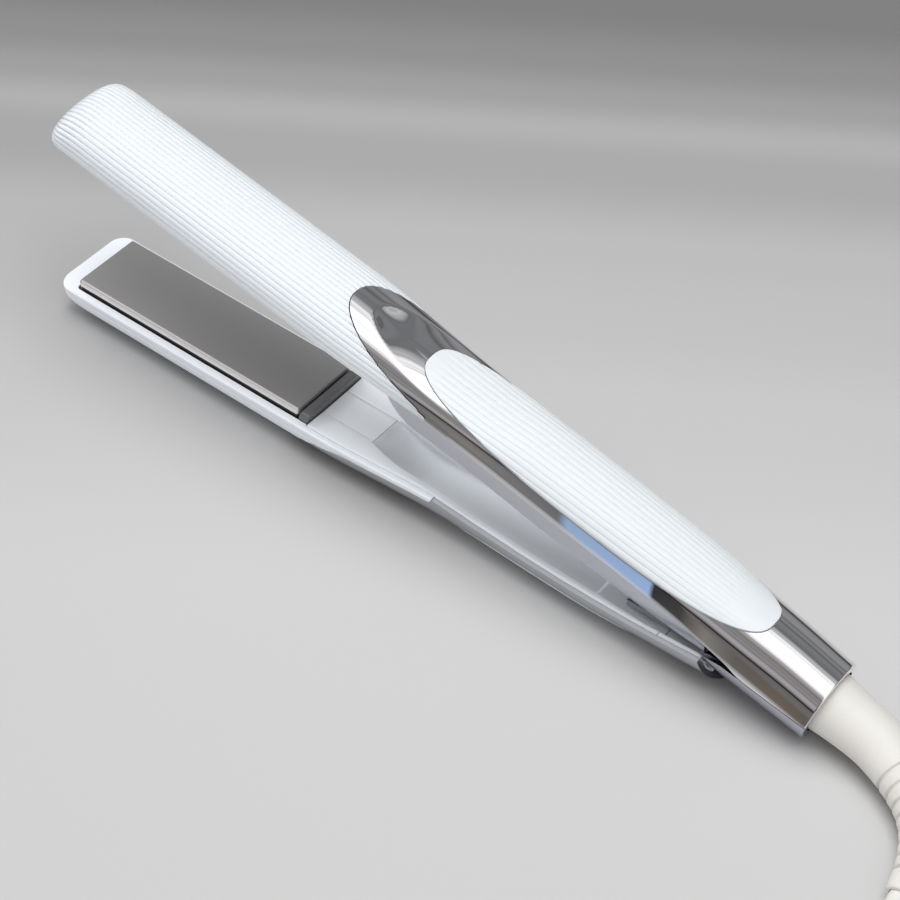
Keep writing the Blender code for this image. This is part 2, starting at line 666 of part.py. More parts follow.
def plate_frame(sign):
    """Tray round the plate with a rear lip, and two cushions behind the heater clip."""
    prefix, arm = SIDE[sign], ARM[sign]
    tray = symmetric([(12.75, 4.75), (12.75, 6.6), (10.8, 10.0)])
    frame = loft_x(prefix + "_plate_frame", [(x, tray) for x in (-255.35, FRAME_X1)], sign,
                   arm, "frame")
    lip_w = MOUTH_W - 0.25
    end = symmetric([(lip_w - 1.3, FRAME_LIP_TOP + 0.5), (lip_w, 3.0), (lip_w, 6.0)])
    full = symmetric([(lip_w - 1.3, FRAME_LIP_TOP), (lip_w, 2.6), (lip_w, 6.0)])
    lip = [(PLATE_X1 + BAY_GAP, end), (PLATE_X1 + 1.0, full), (FRAME_X1 - 1.0, full),
           (FRAME_X1, end)]
    boolean(frame, loft_x(prefix + "_frame_lip", lip, sign, arm), "UNION")
    bay = symmetric([(12.4, 0.5), (12.4, 6.4), (10.4, 9.0)])
    bay_ends = (PLATE_X0 - BAY_GAP, PLATE_X1 + BAY_GAP)
    boolean(frame, loft_x(prefix + "_frame_bay", [(x, bay) for x in bay_ends], sign, arm))
    boolean(frame, cylinder(prefix + "_lead_hole", (-170, 4, sign * 6), (-170, 4, sign * 14),
                            1.6, arm, segments=12))
    for end_name, x0, x1 in CUSHIONS:
        box(prefix + "_cushion_" + end_name, (x0, -4.5, sign * 5.0), (x1, 4.5, sign * 8.7),
            arm, "silicone", bevel=0.4)


# ---------------------------------------------------------------- hinge skirt and its pocket
# The skirt hangs under the upper cover and dips into a pocket in the lower inner panel.
POCKET_X0 = -141.0      # front end of the pocket
SKIRT_X0 = -137.2       # front end of the skirt
STACK = 2.4             # lower arm's outside to the skirt
POCKET_GAP = 0.6        # skirt's bottom edge to pocket floor
POCKET_EDGE = 4.35      # pocket depth at its front end
REAR_FLOOR = 11.05      # least pocket depth towards the hinge
skirt_half_width = law([
    (SKIRT_X0, 6.2), (-134.0, 6.9), (-128.0, 7.8), (-100.0, 8.0), (-60.0, 8.1), (-40.0, 8.6),
    (-12.5, 8.8)])
skirt_ramp = law([(SKIRT_X0, 5.3), (-133.0, 8.0), (-127.0, 10.4), (-121.0, 13.0)])
skirt_flange = law([
    (-113.0, 0.3), (-105.0, 2.6), (-60.0, 2.4), (-30.0, 1.4), (-22.0, 0.6), (-12.5, 0.3)])
SKIRT_XS = [SKIRT_X0, -135.6, -134.0, -130.5, -128.0, -124.0, -121.0, -113.0, -105.0, -90.0,
            -76.0, -60.0, -44.0, -32.0, -20.0, -12.5]
pocket_half_width = law([
    (POCKET_X0, 5.6), (-134.0, 7.3), (-128.0, 8.2), (-100.0, 8.4), (-60.0, 8.5), (-40.0, 9.0),
    (-18.0, 9.2)])


def skirt_depth(x):
    """Bottom edge of the skirt: as deep as the lower arm's section lets it go."""
    x = max(x, SKIRT_X0)
    middle = lower_middle(x)
    share = complement(skirt_half_width(x) / (lower_width(x) - STACK))
    return min(skirt_ramp(x), middle + (lower_crown(x) - STACK - middle) * share)


def skirt_outline(x):
    side, depth = skirt_half_width(x), skirt_depth(x)
    flange = side + skirt_flange(x)
    inner = side - SKIRT_WALL
    return with_far_side([
        (-flange, 3.5), (-flange, 2.3), (-side, 2.25), (-side, -depth + 0.35),
        (-side + 0.3, -depth), (-inner - 0.2, -depth), (-inner, -depth + 0.2), (-inner, 2.3)])


def hinge_skirt():
    skirt = loft_x("hinge_skirt", [(x, skirt_outline(x)) for x in SKIRT_XS], 1, UPPER,
                   "satin", smooth=30)
    # the lower rear corner ends on an arc about the pin, at the barrel's front wall
    heel = [(-21.3, -4.7)] + arc(LIP_R + 0.4, -165, -137, 4) + [(-10.0, -18.0), (-10.0, -4.7)]
    boolean(skirt, prism_y("skirt_heel", heel, REACH, UPPER))


def pocket_depth(x):
    if x < SKIRT_X0:
        t = min(max((x - POCKET_X0) / (SKIRT_X0 - POCKET_X0), 0.0), 1.0)
        return POCKET_EDGE + (skirt_depth(SKIRT_X0) + POCKET_GAP - POCKET_EDGE) * t
    depth = skirt_depth(x) + POCKET_GAP
    return max(depth, REAR_FLOOR) if x > -60.0 else depth


# ---------------------------------------------------------------- lower inner panel
PANEL_XS = [-160.2, -152.0, -145.0, POCKET_X0, -140.7, SKIRT_X0, -133.0, -128.0, -121.0,
            -118.0, TAIL_X - 0.1, TAIL_X + 0.1, -106.0, -98.0, -88.0, -76.0, -60.0, -58.5,
            -44.0, -35.6]
REAR_TRIM_XS = [-35.3, -32.0, -26.0, -18.0]
FLOOR_Y = 5.5           # half width of the flat middle strip of the pocket floor
WALL_POINTS = 6         # points down each pocket wall and across its floor


def inset_width(x, inset, z):
    """Half width of the lower arm's section, inset, at z below the mating plane."""
    width = lower_width(x) - inset
    crown = lower_crown(x) - inset
    middle = lower_middle(x)
    return width if z <= middle else width * complement((z - middle) / (crown - middle))


def pocket_line(x, wide, inset, start_z, floor):
    """Down the near wall of the pocket and across its floor towards the middle."""
    line = [(-wide, start_z)]
    for i in range(1, 41):
        z = start_z + (floor - start_z) * i / 40
        line.append((-min(wide, inset_width(x, inset, z)), z))
    line.append((-5.9, floor))
    return respaced(line, WALL_POINTS)


def panel_outline(x):
    side = lower_width(x) - (SHELL_WALL if x < TAIL_X else COVER_WALL) - GAP
    rim = lower_rim(x) + 0.15
    pocket_w = pocket_half_width(x)
    if x > POCKET_X0:
        ledge = lower_rim(x) + 0.35
        ledge_back = ledge + 0.95
        depth = pocket_depth(x)
        floor = max(depth, ledge + 0.5)
        strip = max(depth if x < -59.0 else REAR_FLOOR, ledge + 0.5)
        strip_back = strip + PANEL_WALL
        inner = pocket_line(x, pocket_w, STACK - GAP, ledge + 0.3, floor)
        outer = pocket_line(x, pocket_w + PANEL_WALL, STACK - GAP - PANEL_WALL, ledge + 1.3,
                            floor + PANEL_WALL + 0.4)
    else:
        # flat panel; the wall points are crowded beside the middle strip
        ledge = strip = 4.0
        ledge_back = strip_back = 5.0
        inner = [(-5.58 + 0.01 * i, ledge) for i in range(WALL_POINTS)]
        outer = [(-6.2 + 0.06 * i, ledge_back) for i in range(WALL_POINTS)]
    face = [(-side, rim + 0.25), (-side + 0.3, rim), (-pocket_w - 0.4, ledge)]
    face += inner + [(-FLOOR_Y, strip)]
    back = [(-side, rim + 1.1), (-pocket_w - PANEL_WALL - 0.2, ledge_back)]
    back += outer + [(-FLOOR_Y, strip_back)]
    return with_far_side(face) + [(-y, z) for y, z in back] + back[::-1]


def lower_panel_part(name, xs):
    return loft_x(name, [(x, panel_outline(x)) for x in xs], -1, LOWER, "panel", smooth=30)


def lower_inner_panel():
    panel = lower_panel_part("lower_inner_panel", PANEL_XS)
    trim = lower_panel_part("lower_rear_trim", REAR_TRIM_XS)
    boolean(trim, pin_cylinder("rear_trim_cut", -REACH, REACH, LOW_END_R + 0.2, LOWER,
                               segments=48))
    return panel


# ---------------------------------------------------------------- upper inner panel, controls
upper_panel_width = law([
    (-154, 12.4), (-146, 12.2), (-138, 11.7), (-128, 11.1), (-118, 10.6), (-108, 10.3),
    (-60, 10.0), (-30, 8.6)])
UPPER_PANEL_XS = (-160.2, -154.0, -146.0, -138.0, -128.0, -118.0, -108.0, -60.0, -30.0)
PANEL_FACE, PANEL_BACK = 3.9, 5.0
BUTTON_X = -148.5
BUTTONS = (("power", -6.6), ("temp_up", 0.0), ("temp_down", 6.6))       # name, y
BUTTON_HOLE_R = 2.45
SWITCH_HALF = 1.6
# button profile (radius, z): retaining flange inside, pressed face below
BUTTON_PROFILE = [(0.0, 6.0), (2.85, 6.0), (2.85, 5.4), (2.1, 5.4), (2.1, 3.4), (1.8, 3.05),
                  (0.0, 2.95)]


def upper_inner_panel():
    stations = []
    for x in UPPER_PANEL_XS:
        side = upper_panel_width(x)
        stations.append((x, symmetric([(side, PANEL_FACE), (side, PANEL_BACK)])))
    return loft_x("upper_inner_panel", stations, 1, UPPER, "panel")


def controls(panel):
    for label, y in BUTTONS:
        name = label + "_button"
        boolean(panel, cylinder(name + "_hole", (BUTTON_X, y, 2), (BUTTON_X, y, 7),
                                BUTTON_HOLE_R, UPPER))
        axis = empty(name + "_axis", M_UP @ shift((BUTTON_X, y, 0)))
        revolve(name, BUTTON_PROFILE, 18, axis, "satin")
        box(label + "_tact_switch", (BUTTON_X - SWITCH_HALF, y - SWITCH_HALF, 6.9),
            (BUTTON_X + SWITCH_HALF, y + SWITCH_HALF, 8.0), UPPER, "black")
    boolean(panel, box("led_slot", (-156.2, -3.4, 2), (-153.8, 3.4, 7), UPPER))
    box("led_window", (-155.9, -3.1, 3.8), (-154.1, 3.1, 5.6), UPPER, "lens", bevel=0.15)
    box("control_board", (-157.0, -7.2, 8.3), (-74.0, 7.2, 9.5), UPPER, "board")
    cylinder("thermal_fuse", (-120, 4, 6.65), (-110, 4, 6.65), 1.2, UPPER, "ceramic",
             segments=12)


# ---------------------------------------------------------------- hinge
ARM_TOP, ARM_UNDER = -8.4, -10.6        # faces of the hinge arm's flat front part
EYE_R = 4.0
BUSH_R = 3.0
SPRING_X, SPRING_R, SPRING_TURNS = -38.0, 2.7, 6
SPRING_Z, SPRING_H = -7.2, 14.6         # lower end and height of the coil's centre line
YOKE_LINE = [(-8.0, 5.2), (1.5, 5.1), (4.2, 3.0), (4.2, -2.0), (2.5, -4.0), (-2.5, -4.0),
             (-5.0, -2.0), (-8.0, 2.5)]     # (x, z)


def hinge_arm():
    line = [(-50.0, ARM_UNDER), (-24.0, ARM_UNDER), (-9.0, -8.0)] + arc(EYE_R, -60, 190, 16)
    line += [(-14.0, -4.6), (-24.0, -7.4), (-50.0, ARM_TOP)]
    arm = prism_y("lower_hinge_arm", line, 4.6, LOWER, "steel")
    boolean(arm, pin_cylinder("hinge_arm_bore", -9, 9, BUSH_R + 0.15, LOWER))
    return arm


def hinge_bushes():
    for name, y0, y1 in (("hinge_bush_near", -4.7, -0.2), ("hinge_bush_far", 0.2, 4.7)):
        bush = pin_cylinder(name, y0, y1, BUSH_R, LOWER, "brass")
        boolean(bush, pin_cylinder(name + "_bore", y0 - 2, y1 + 2, PIN_R + 0.1, LOWER))


def hinge_yoke():
    pin_cylinder("hinge_pin", -6.55, 6.55, PIN_R, UPPER, "steel")
    yoke = prism_y("hinge_yoke", YOKE_LINE, 6.3, UPPER, "steel")
    # clear the swing of the hinge arm's eye between the yoke's two ears
    boolean(yoke, box("yoke_slot", (-20, -5.0, -12), (20, 5.0, 4.35), UPPER))
    boolean(yoke, pin_cylinder("yoke_bore", -12, 12, PIN_R + 0.08, UPPER))


def hinge_spring():
    steps = SPRING_TURNS * 10
    coil = []
    for i in range(steps + 1):
        t = i / steps
        angle = 2 * math.pi * SPRING_TURNS * t
        coil.append((SPRING_X + SPRING_R * math.cos(angle), SPRING_R * math.sin(angle),
                     SPRING_Z + SPRING_H * t))
    wire("hinge_spring", coil, 0.45, LOWER, "spring")


# ---------------------------------------------------------------- screws and leads
def screw(name, seat, up, head_r, head_h, shank_r, shank_l, parent, holes):
    """Slotted screw with its head seated at `seat`, facing up (+1) or down (-1)."""
    seat = Vector(seat)
    profile = [(0.0, head_h), (head_r * 0.8, head_h), (head_r, head_h * 0.55), (head_r, 0.0),
               (shank_r, 0.0), (shank_r, -shank_l + 0.6), (0.0, -shank_l)]
    body = revolve(name, [(r, z * up) for r, z in profile], 14, parent, "steel", seat)
    boolean(body, box(name + "_slot", seat + Vector((-head_r, -0.25, up * head_h * 0.5)),
                      seat + Vector((head_r, 0.25, up * (head_h + 1))), parent))
    axis = Vector((0, 0, up))
    for part in holes:
        boolean(part, cylinder(name + "_hole", seat + axis * 3, seat - axis * shank_l,
                               shank_r + 0.35, parent, segments=14))


def screws(lower_panel, upper_panel, arm):
    screw("lower_panel_screw", (-54.5, 2.8, -10.75), up=1, head_r=1.9, head_h=1.2,
          shank_r=0.9, shank_l=2.7, parent=LOWER, holes=[lower_panel])
    screw("upper_panel_screw", (-141.6, 0, 3.6), up=-1, head_r=1.7, head_h=0.9,
          shank_r=0.8, shank_l=3.6, parent=UPPER, holes=[upper_panel])
    screw("hinge_arm_screw", (-46.5, 0, ARM_TOP + 0.45), up=1, head_r=1.7, head_h=1.0,
          shank_r=0.8, shank_l=4.6, parent=LOWER, holes=[arm, lower_panel])


# name, radius, parent, material, path of (x, y, z)
LEADS = (
    ("upper_heater_lead", 0.7, UPPER, "wire", [
        (-170, 4, 9.2), (-170, 4, 10.8), (-167.5, 4, 12.2), (-162, 4, 12.4),
        (-157.5, 4, 11.6), (-153, 4, 10.6)]),
    ("lower_heater_lead", 0.5, LOWER, "wire", [
        (-170, 4, -9.2), (-170, 4, -11.0), (-162, 6, -11.4), (-150, 8, -10.4),
        (-140, 9.3, -8.8), (-128, 9.7, -7.7), (-114, 9.8, -7.5), (-100, 10.0, -8.3),
        (-85, 10.0, -9.4), (-70, 10.0, -10.1)]),
    ("mains_lead", 0.7, UPPER, "black", [
        (-71.5, -3, 10.4), (-60, -5, 9.3), (-45, -6.6, 7.6), (-30, -7.3, 6.3),
        (-22, -7.5, 5.2), (-13, -7.5, 4.5), (-6, -7.5, 2.6), (0, -7.6, 1.0),
        (4.0, -7.5, -0.3), (7.0, -6.4, -1.4), (8.9, -4.0, -2.6)]),
)


def leads():
    for name, radius, parent, mat, points in LEADS:
        wire(name, smooth_path(points, 3), radius, parent, mat)


# ---------------------------------------------------------------- cord, boot and swivel collar
# path of boot and cord in the lower arm's frame, laid along the table
CORD_PATH = [
    (12.0, 0.0, -7.6), (20.0, -0.5, -9.1), (28.5, -1.4, -10.5), (35.6, -3.7, -11.45),
    (41.5, -6.7, -12.1), (46.6, -10.2, -12.65), (50.6, -14.2, -13.1), (53.8, -19.0, -13.6),
    (56.2, -25.0, -14.3), (57.8, -32.0, -15.2), (58.6, -40.0, -16.1), (58.8, -49.0, -16.6),
    (58.2, -58.0, -16.7), (56.6, -68.0, -16.7), (54.0, -78.0, -16.65)]
CORD_R = 3.15
CORD_SEGMENTS = 14
BOOT_L = 66.0
CORD_START = BOOT_L - 6.0       # where the cord begins inside the boot
GROOVES, GROOVE_START, GROOVE_PITCH = 8, 29.0, 4.35
GROOVE_DEPTH = 0.9
boot_radius = law([(0, 9.1), (5, 8.6), (10, 8.2), (18, 7.9), (27, 7.4), (45, 6.0),
                   (BOOT_L, 4.5)])      # by distance along the path

TO_CORD = M_CORD.inverted() @ M_LOW
PATH = [(TO_CORD @ (p * MM)) / MM for p in smooth_path(CORD_PATH, 12)]
PATH_DIST = [0.0]
for here, there in zip(PATH[:-1], PATH[1:]):
    PATH_DIST.append(PATH_DIST[-1] + (there - here).length)


def path_at(s):
    """Point and direction at distance s along the path."""
    s = min(max(s, 0.0), PATH_DIST[-1])
    i = 0
    while i < len(PATH_DIST) - 2 and PATH_DIST[i + 1] < s:
        i += 1
    t = (s - PATH_DIST[i]) / (PATH_DIST[i + 1] - PATH_DIST[i])
    before, after = max(i - 2, 0), min(i + 3, len(PATH) - 1)
    return PATH[i].lerp(PATH[i + 1], t), (PATH[after] - PATH[before]).normalized()


def tube(name, stations, segments, mat=None):
    """Round solid along the path through stations of (distance, radius)."""
    side = Vector((0, 1, 0))
    turns = [2 * math.pi * k / segments for k in range(segments)]
    rings = []
    for s, radius in stations:
        centre, direction = path_at(s)
        if s < 2.0:
            # the first ring stays square to the barrel
            direction = Vector((1, 0, 0))
        side = (side - direction * side.dot(direction)).normalized()
        across = direction.cross(side)
        rings.append([centre + side * (radius * math.cos(a)) + across * (radius * math.sin(a))
                      for a in turns])
    return loft(name, rings, CORD, mat, smooth=40)


def cord_boot():
    stations = [(0.9, boot_radius(0))] + [(s, boot_radius(s)) for s in (8.0, 16.0, 24.0)]
    for k in range(GROOVES):
        groove = GROOVE_START + GROOVE_PITCH * k
        outer = boot_radius(groove)
        inner = outer - GROOVE_DEPTH
        stations += [(groove - 0.75, outer), (groove - 0.45, inner),
                     (groove + 0.45, inner), (groove + 0.75, outer)]
    tip = boot_radius(BOOT_L)
    stations += [(BOOT_L - 0.6, tip), (BOOT_L, tip - 0.6)]
    boot = tube("cord_boot", stations, 20, "boot")
    socket = [(CORD_START - 0.5 + 1.5 * i, CORD_R + 0.4) for i in range(7)]
    boolean(boot, tube("boot_socket", socket, CORD_SEGMENTS))


def power_cord():
    clear = BOOT_L + 3.0        # past the boot the stations are wider apart
    stations = [(CORD_START + 1.5 * i, CORD_R) for i in range(6)]
    stations += [(clear + (PATH_DIST[-1] - clear) * i / 12, CORD_R) for i in range(13)]
    tube("power_cord", stations, CORD_SEGMENTS, "boot")


def swivel_collar():
    """Disc inside the barrel's rear wall, at the front of the boot."""
    cylinder("swivel_collar", (10.0 - SWIVEL.x, 0, 0), (12.5 - SWIVEL.x, 0, 0), 10.0, CORD,
             "frame", segments=28)


# ---------------------------------------------------------------- assembly
def build():
    head_shell(1)
    head_land(head_shell(-1))

    cord_hole = cylinder("cord_hole", (8, 0, BARREL_Z), (20, 0, BARREL_Z), 9.75, UPPER,
                         segments=28)
    lower_end = pin_cylinder("lower_end_cut", -REACH, REACH, LOW_END_R, LOWER, segments=48)
    for sign, end_cutter in ((1, cord_hole), (-1, lower_end)):
        chrome_cover(sign, end_cutter)
        grip_inlay(sign)
        heat_plate(sign)
        heater(sign)
        plate_frame(sign)
    barrel_lower_cover(cord_hole)

    lower_panel = lower_inner_panel()
    upper_panel = upper_inner_panel()
    controls(upper_panel)

    hinge_skirt()
    arm = hinge_arm()
    hinge_bushes()
    hinge_yoke()
    hinge_spring()
    screws(lower_panel, upper_panel, arm)
    leads()

    cord_boot()
    power_cord()
    swivel_collar()


build()
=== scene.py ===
import json
import math

import bmesh
import bpy
import numpy as np
from mathutils import Matrix, Vector

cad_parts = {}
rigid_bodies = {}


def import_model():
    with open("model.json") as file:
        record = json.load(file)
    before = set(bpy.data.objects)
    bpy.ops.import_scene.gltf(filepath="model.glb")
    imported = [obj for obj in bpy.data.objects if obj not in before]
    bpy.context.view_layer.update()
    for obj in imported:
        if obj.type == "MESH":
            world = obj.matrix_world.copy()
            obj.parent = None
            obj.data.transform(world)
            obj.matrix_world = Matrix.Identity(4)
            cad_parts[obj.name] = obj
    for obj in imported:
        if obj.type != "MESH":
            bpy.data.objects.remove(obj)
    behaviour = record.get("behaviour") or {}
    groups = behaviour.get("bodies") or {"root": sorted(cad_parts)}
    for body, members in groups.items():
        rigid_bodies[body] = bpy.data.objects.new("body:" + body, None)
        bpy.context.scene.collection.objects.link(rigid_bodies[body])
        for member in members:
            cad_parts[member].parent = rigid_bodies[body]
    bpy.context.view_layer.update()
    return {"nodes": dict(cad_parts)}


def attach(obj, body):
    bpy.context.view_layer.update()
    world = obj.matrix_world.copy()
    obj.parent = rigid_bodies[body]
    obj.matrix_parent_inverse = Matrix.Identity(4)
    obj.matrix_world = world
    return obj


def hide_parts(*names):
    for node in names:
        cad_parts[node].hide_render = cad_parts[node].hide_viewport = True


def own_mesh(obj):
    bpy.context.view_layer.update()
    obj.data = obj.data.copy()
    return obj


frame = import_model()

MM = 0.001
SC = bpy.context.scene

# ---------------------------------------------------------------- driving dimensions (mm, degrees), as in the CAD
OPEN, LEAN = 11.73, 0.85
RIM = 3.6
TIP_X, NOSE_X = -261.9, -248.0
PLATE_X0, PLATE_X1, PLATE_W, FACE = -254.3, -164.3, 12.05, 0.2
FRAME_X1 = -160.6
TAIL_X, UP_TAIL_X, LOBE_X = -113.0, -109.6, -155.6
BARREL_X, BARREL_Z = 14.5, -5.0
LOW_END_R, LIP_R = 21.9, 21.3
SHELL_WALL, COVER_WALL = 1.6, 1.4
REEDS, REED_DEPTH = 23, 0.36
MOUTH_W, FLANGE, LIP_TOP = 12.5, 0.9, 1.3
SKIRT_WALL, PANEL_WALL, STACK = 1.0, 0.6, 2.4
GRIP_CX, GRIP_L, GRIP_W, GRIP_P = -67.6, 59.7, 11.6, 3.0
LOW_GRIP_CX, LOW_GRIP_L = -78.0, 49.0
GAP = 0.3
REST_X, BOTTOM, LAND = -232.0, 16.0, 0.35
POW = 2.3


def rot_y(deg):
    return Matrix.Rotation(math.radians(deg), 4, "Y")


LOW_R, UP_R = rot_y(-LEAN), rot_y(OPEN - LEAN)
PIVOT = -(LOW_R @ Vector((REST_X, 0, -BOTTOM + LAND))) * MM
M_LOW = Matrix.Translation(PIVOT) @ LOW_R
M_UP = Matrix.Translation(PIVOT) @ UP_R
SWIVEL = Vector((12.0, 0, BARREL_Z))
M_CORD = M_UP @ Matrix.Translation(SWIVEL * MM)
ARM = {"lower_arm": M_LOW, "upper_arm": M_UP, "lower_plate": M_LOW, "upper_plate": M_UP, "cord": M_CORD}
for b in ("power_button", "temp_up_button", "temp_down_button"):
    ARM[b] = M_UP


# ---------------------------------------------------------------- node materials
def nodes_of(m):
    m.use_nodes = True
    return m.node_tree.nodes, m.node_tree.links, m.node_tree.nodes["Principled BSDF"]


def finish_mat(name, rgb, rough, metal=0.0, coat=0.0, coat_rough=0.05, vary=0.04, scale=900.0, bump=0.0, bump_scale=4000.0, spec=0.5, sss=0.0, edge=0.0):
    """Principled finish with a little procedural unevenness in roughness."""
    m = bpy.data.materials.new(name)
    nt, ln, b = nodes_of(m)
    tc = nt.new("ShaderNodeTexCoord")
    nz = nt.new("ShaderNodeTexNoise")
    nz.inputs["Scale"].default_value = scale * 0.1
    nz.inputs["Detail"].default_value = 3
    ln.new(tc.outputs["Object"], nz.inputs["Vector"])
    mr = nt.new("ShaderNodeMapRange")
    mr.inputs["To Min"].default_value = max(rough * (1 - vary * 3), 0.0)
    mr.inputs["To Max"].default_value = rough * (1 + vary * 3)
    ln.new(nz.outputs["Fac"], mr.inputs["Value"])
    ln.new(mr.outputs["Result"], b.inputs["Roughness"])
    b.inputs["Base Color"].default_value = (*rgb, 1)
    b.inputs["Metallic"].default_value = metal
    b.inputs["Coat Weight"].default_value = coat
    b.inputs["Coat Roughness"].default_value = coat_rough
    b.inputs["Specular IOR Level"].default_value = spec
    if sss:
        b.inputs["Subsurface Weight"].default_value = sss
        b.inputs["Subsurface Radius"].default_value = (0.002, 0.002, 0.002)
        b.inputs["Subsurface Scale"].default_value = 1.0
    normal = None
    if edge:
        bv = nt.new("ShaderNodeBevel")
        bv.samples = 4
        bv.inputs["Radius"].default_value = edge * MM
        normal = bv.outputs["Normal"]
    if bump:
        n2 = nt.new("ShaderNodeTexNoise")
        n2.inputs["Scale"].default_value = bump_scale
        n2.inputs["Detail"].default_value = 2
        ln.new(tc.outputs["Object"], n2.inputs["Vector"])
        bp = nt.new("ShaderNodeBump")
        bp.inputs["Strength"].default_value = bump
        bp.inputs["Distance"].default_value = 0.0001
        ln.new(n2.outputs["Fac"], bp.inputs["Height"])
        if normal:
            ln.new(normal, bp.inputs["Normal"])
        normal = bp.outputs["Normal"]
    if normal:
        ln.new(normal, b.inputs["Normal"])
    return m


MAT = {
    "shell": finish_mat("shell_plastic", (0.775, 0.818, 0.848), 0.34, vary=0.0, coat=0.3, coat_rough=0.14, sss=0.25),
    # lower head shell: a lighter copy of the shell plastic, painted light standing in for the light the upper arm
    # shades off
    "shell_low": finish_mat("shell_plastic_lower", (0.90, 0.935, 0.98), 0.34, vary=0.0, coat=0.3, coat_rough=0.14),
    "panel": finish_mat("panel_plastic", (0.93, 0.965, 0.99), 0.36, vary=0.0, coat=0.3, coat_rough=0.16),
    "chrome": finish_mat("chrome_plating", (0.83, 0.83, 0.85), 0.045, metal=1.0),
    # lower cover: a darker copy of the chrome plating, painted shade where it mirrors the shadowed floor
    "chrome_low_painted_shade": finish_mat("chrome_plating_lower", (0.50, 0.50, 0.535), 0.08, metal=1.0),
    # barrel cover: a darker, bluer copy of the chrome plating, painted shade and a painted reflection of the grey floor
    "chrome_barrel": finish_mat("chrome_plating_barrel", (0.50, 0.50, 0.58), 0.10, metal=1.0),
    "satin": finish_mat("satin_plating", (0.62, 0.628, 0.675), 0.24, metal=1.0),
    "plate": finish_mat("plate_coating", (0.39, 0.382, 0.384), 0.34, metal=0.4, bump=0.05, bump_scale=9000.0),
    # lighter finish for the plate's long sides: a painted highlight, the same coating catching the light
    "plate_edge_highlight": finish_mat("plate_bare_edge", (0.84, 0.825, 0.81), 0.34, metal=0.45, vary=0.0),
    "frame": finish_mat("frame_plastic", (0.20, 0.20, 0.205), 0.30, metal=0.35),
    # pale finish for the up-facing rim faces of the lower plated cover: a painted highlight
    "rim": finish_mat("plated_rim", (0.80, 0.82, 0.86), 0.22, metal=0.35, vary=0.0, coat=0.5),
    "steel": finish_mat("steel", (0.56, 0.56, 0.57), 0.3, metal=1.0),
    "spring": finish_mat("spring_steel", (0.42, 0.42, 0.44), 0.3, metal=1.0),
    "brass": finish_mat("brass", (0.72, 0.52, 0.24), 0.28, metal=1.0),
    "ceramic": finish_mat("ceramic", (0.80, 0.77, 0.72), 0.6),
    "silicone": finish_mat("silicone", (0.45, 0.10, 0.06), 0.55),
    "board": finish_mat("circuit_board", (0.02, 0.16, 0.06), 0.4, coat=0.3),
    "black": finish_mat("black_plastic", (0.015, 0.015, 0.016), 0.4),
    "wire": finish_mat("wire_sleeve", (0.62, 0.60, 0.55), 0.75, bump=0.4, bump_scale=2500.0),
    "boot": finish_mat("cord_plastic", (0.76, 0.745, 0.70), 0.48, sss=0.15),
    "lens": finish_mat("light_window", (0.86, 0.92, 0.96), 0.18, coat=0.5),
}
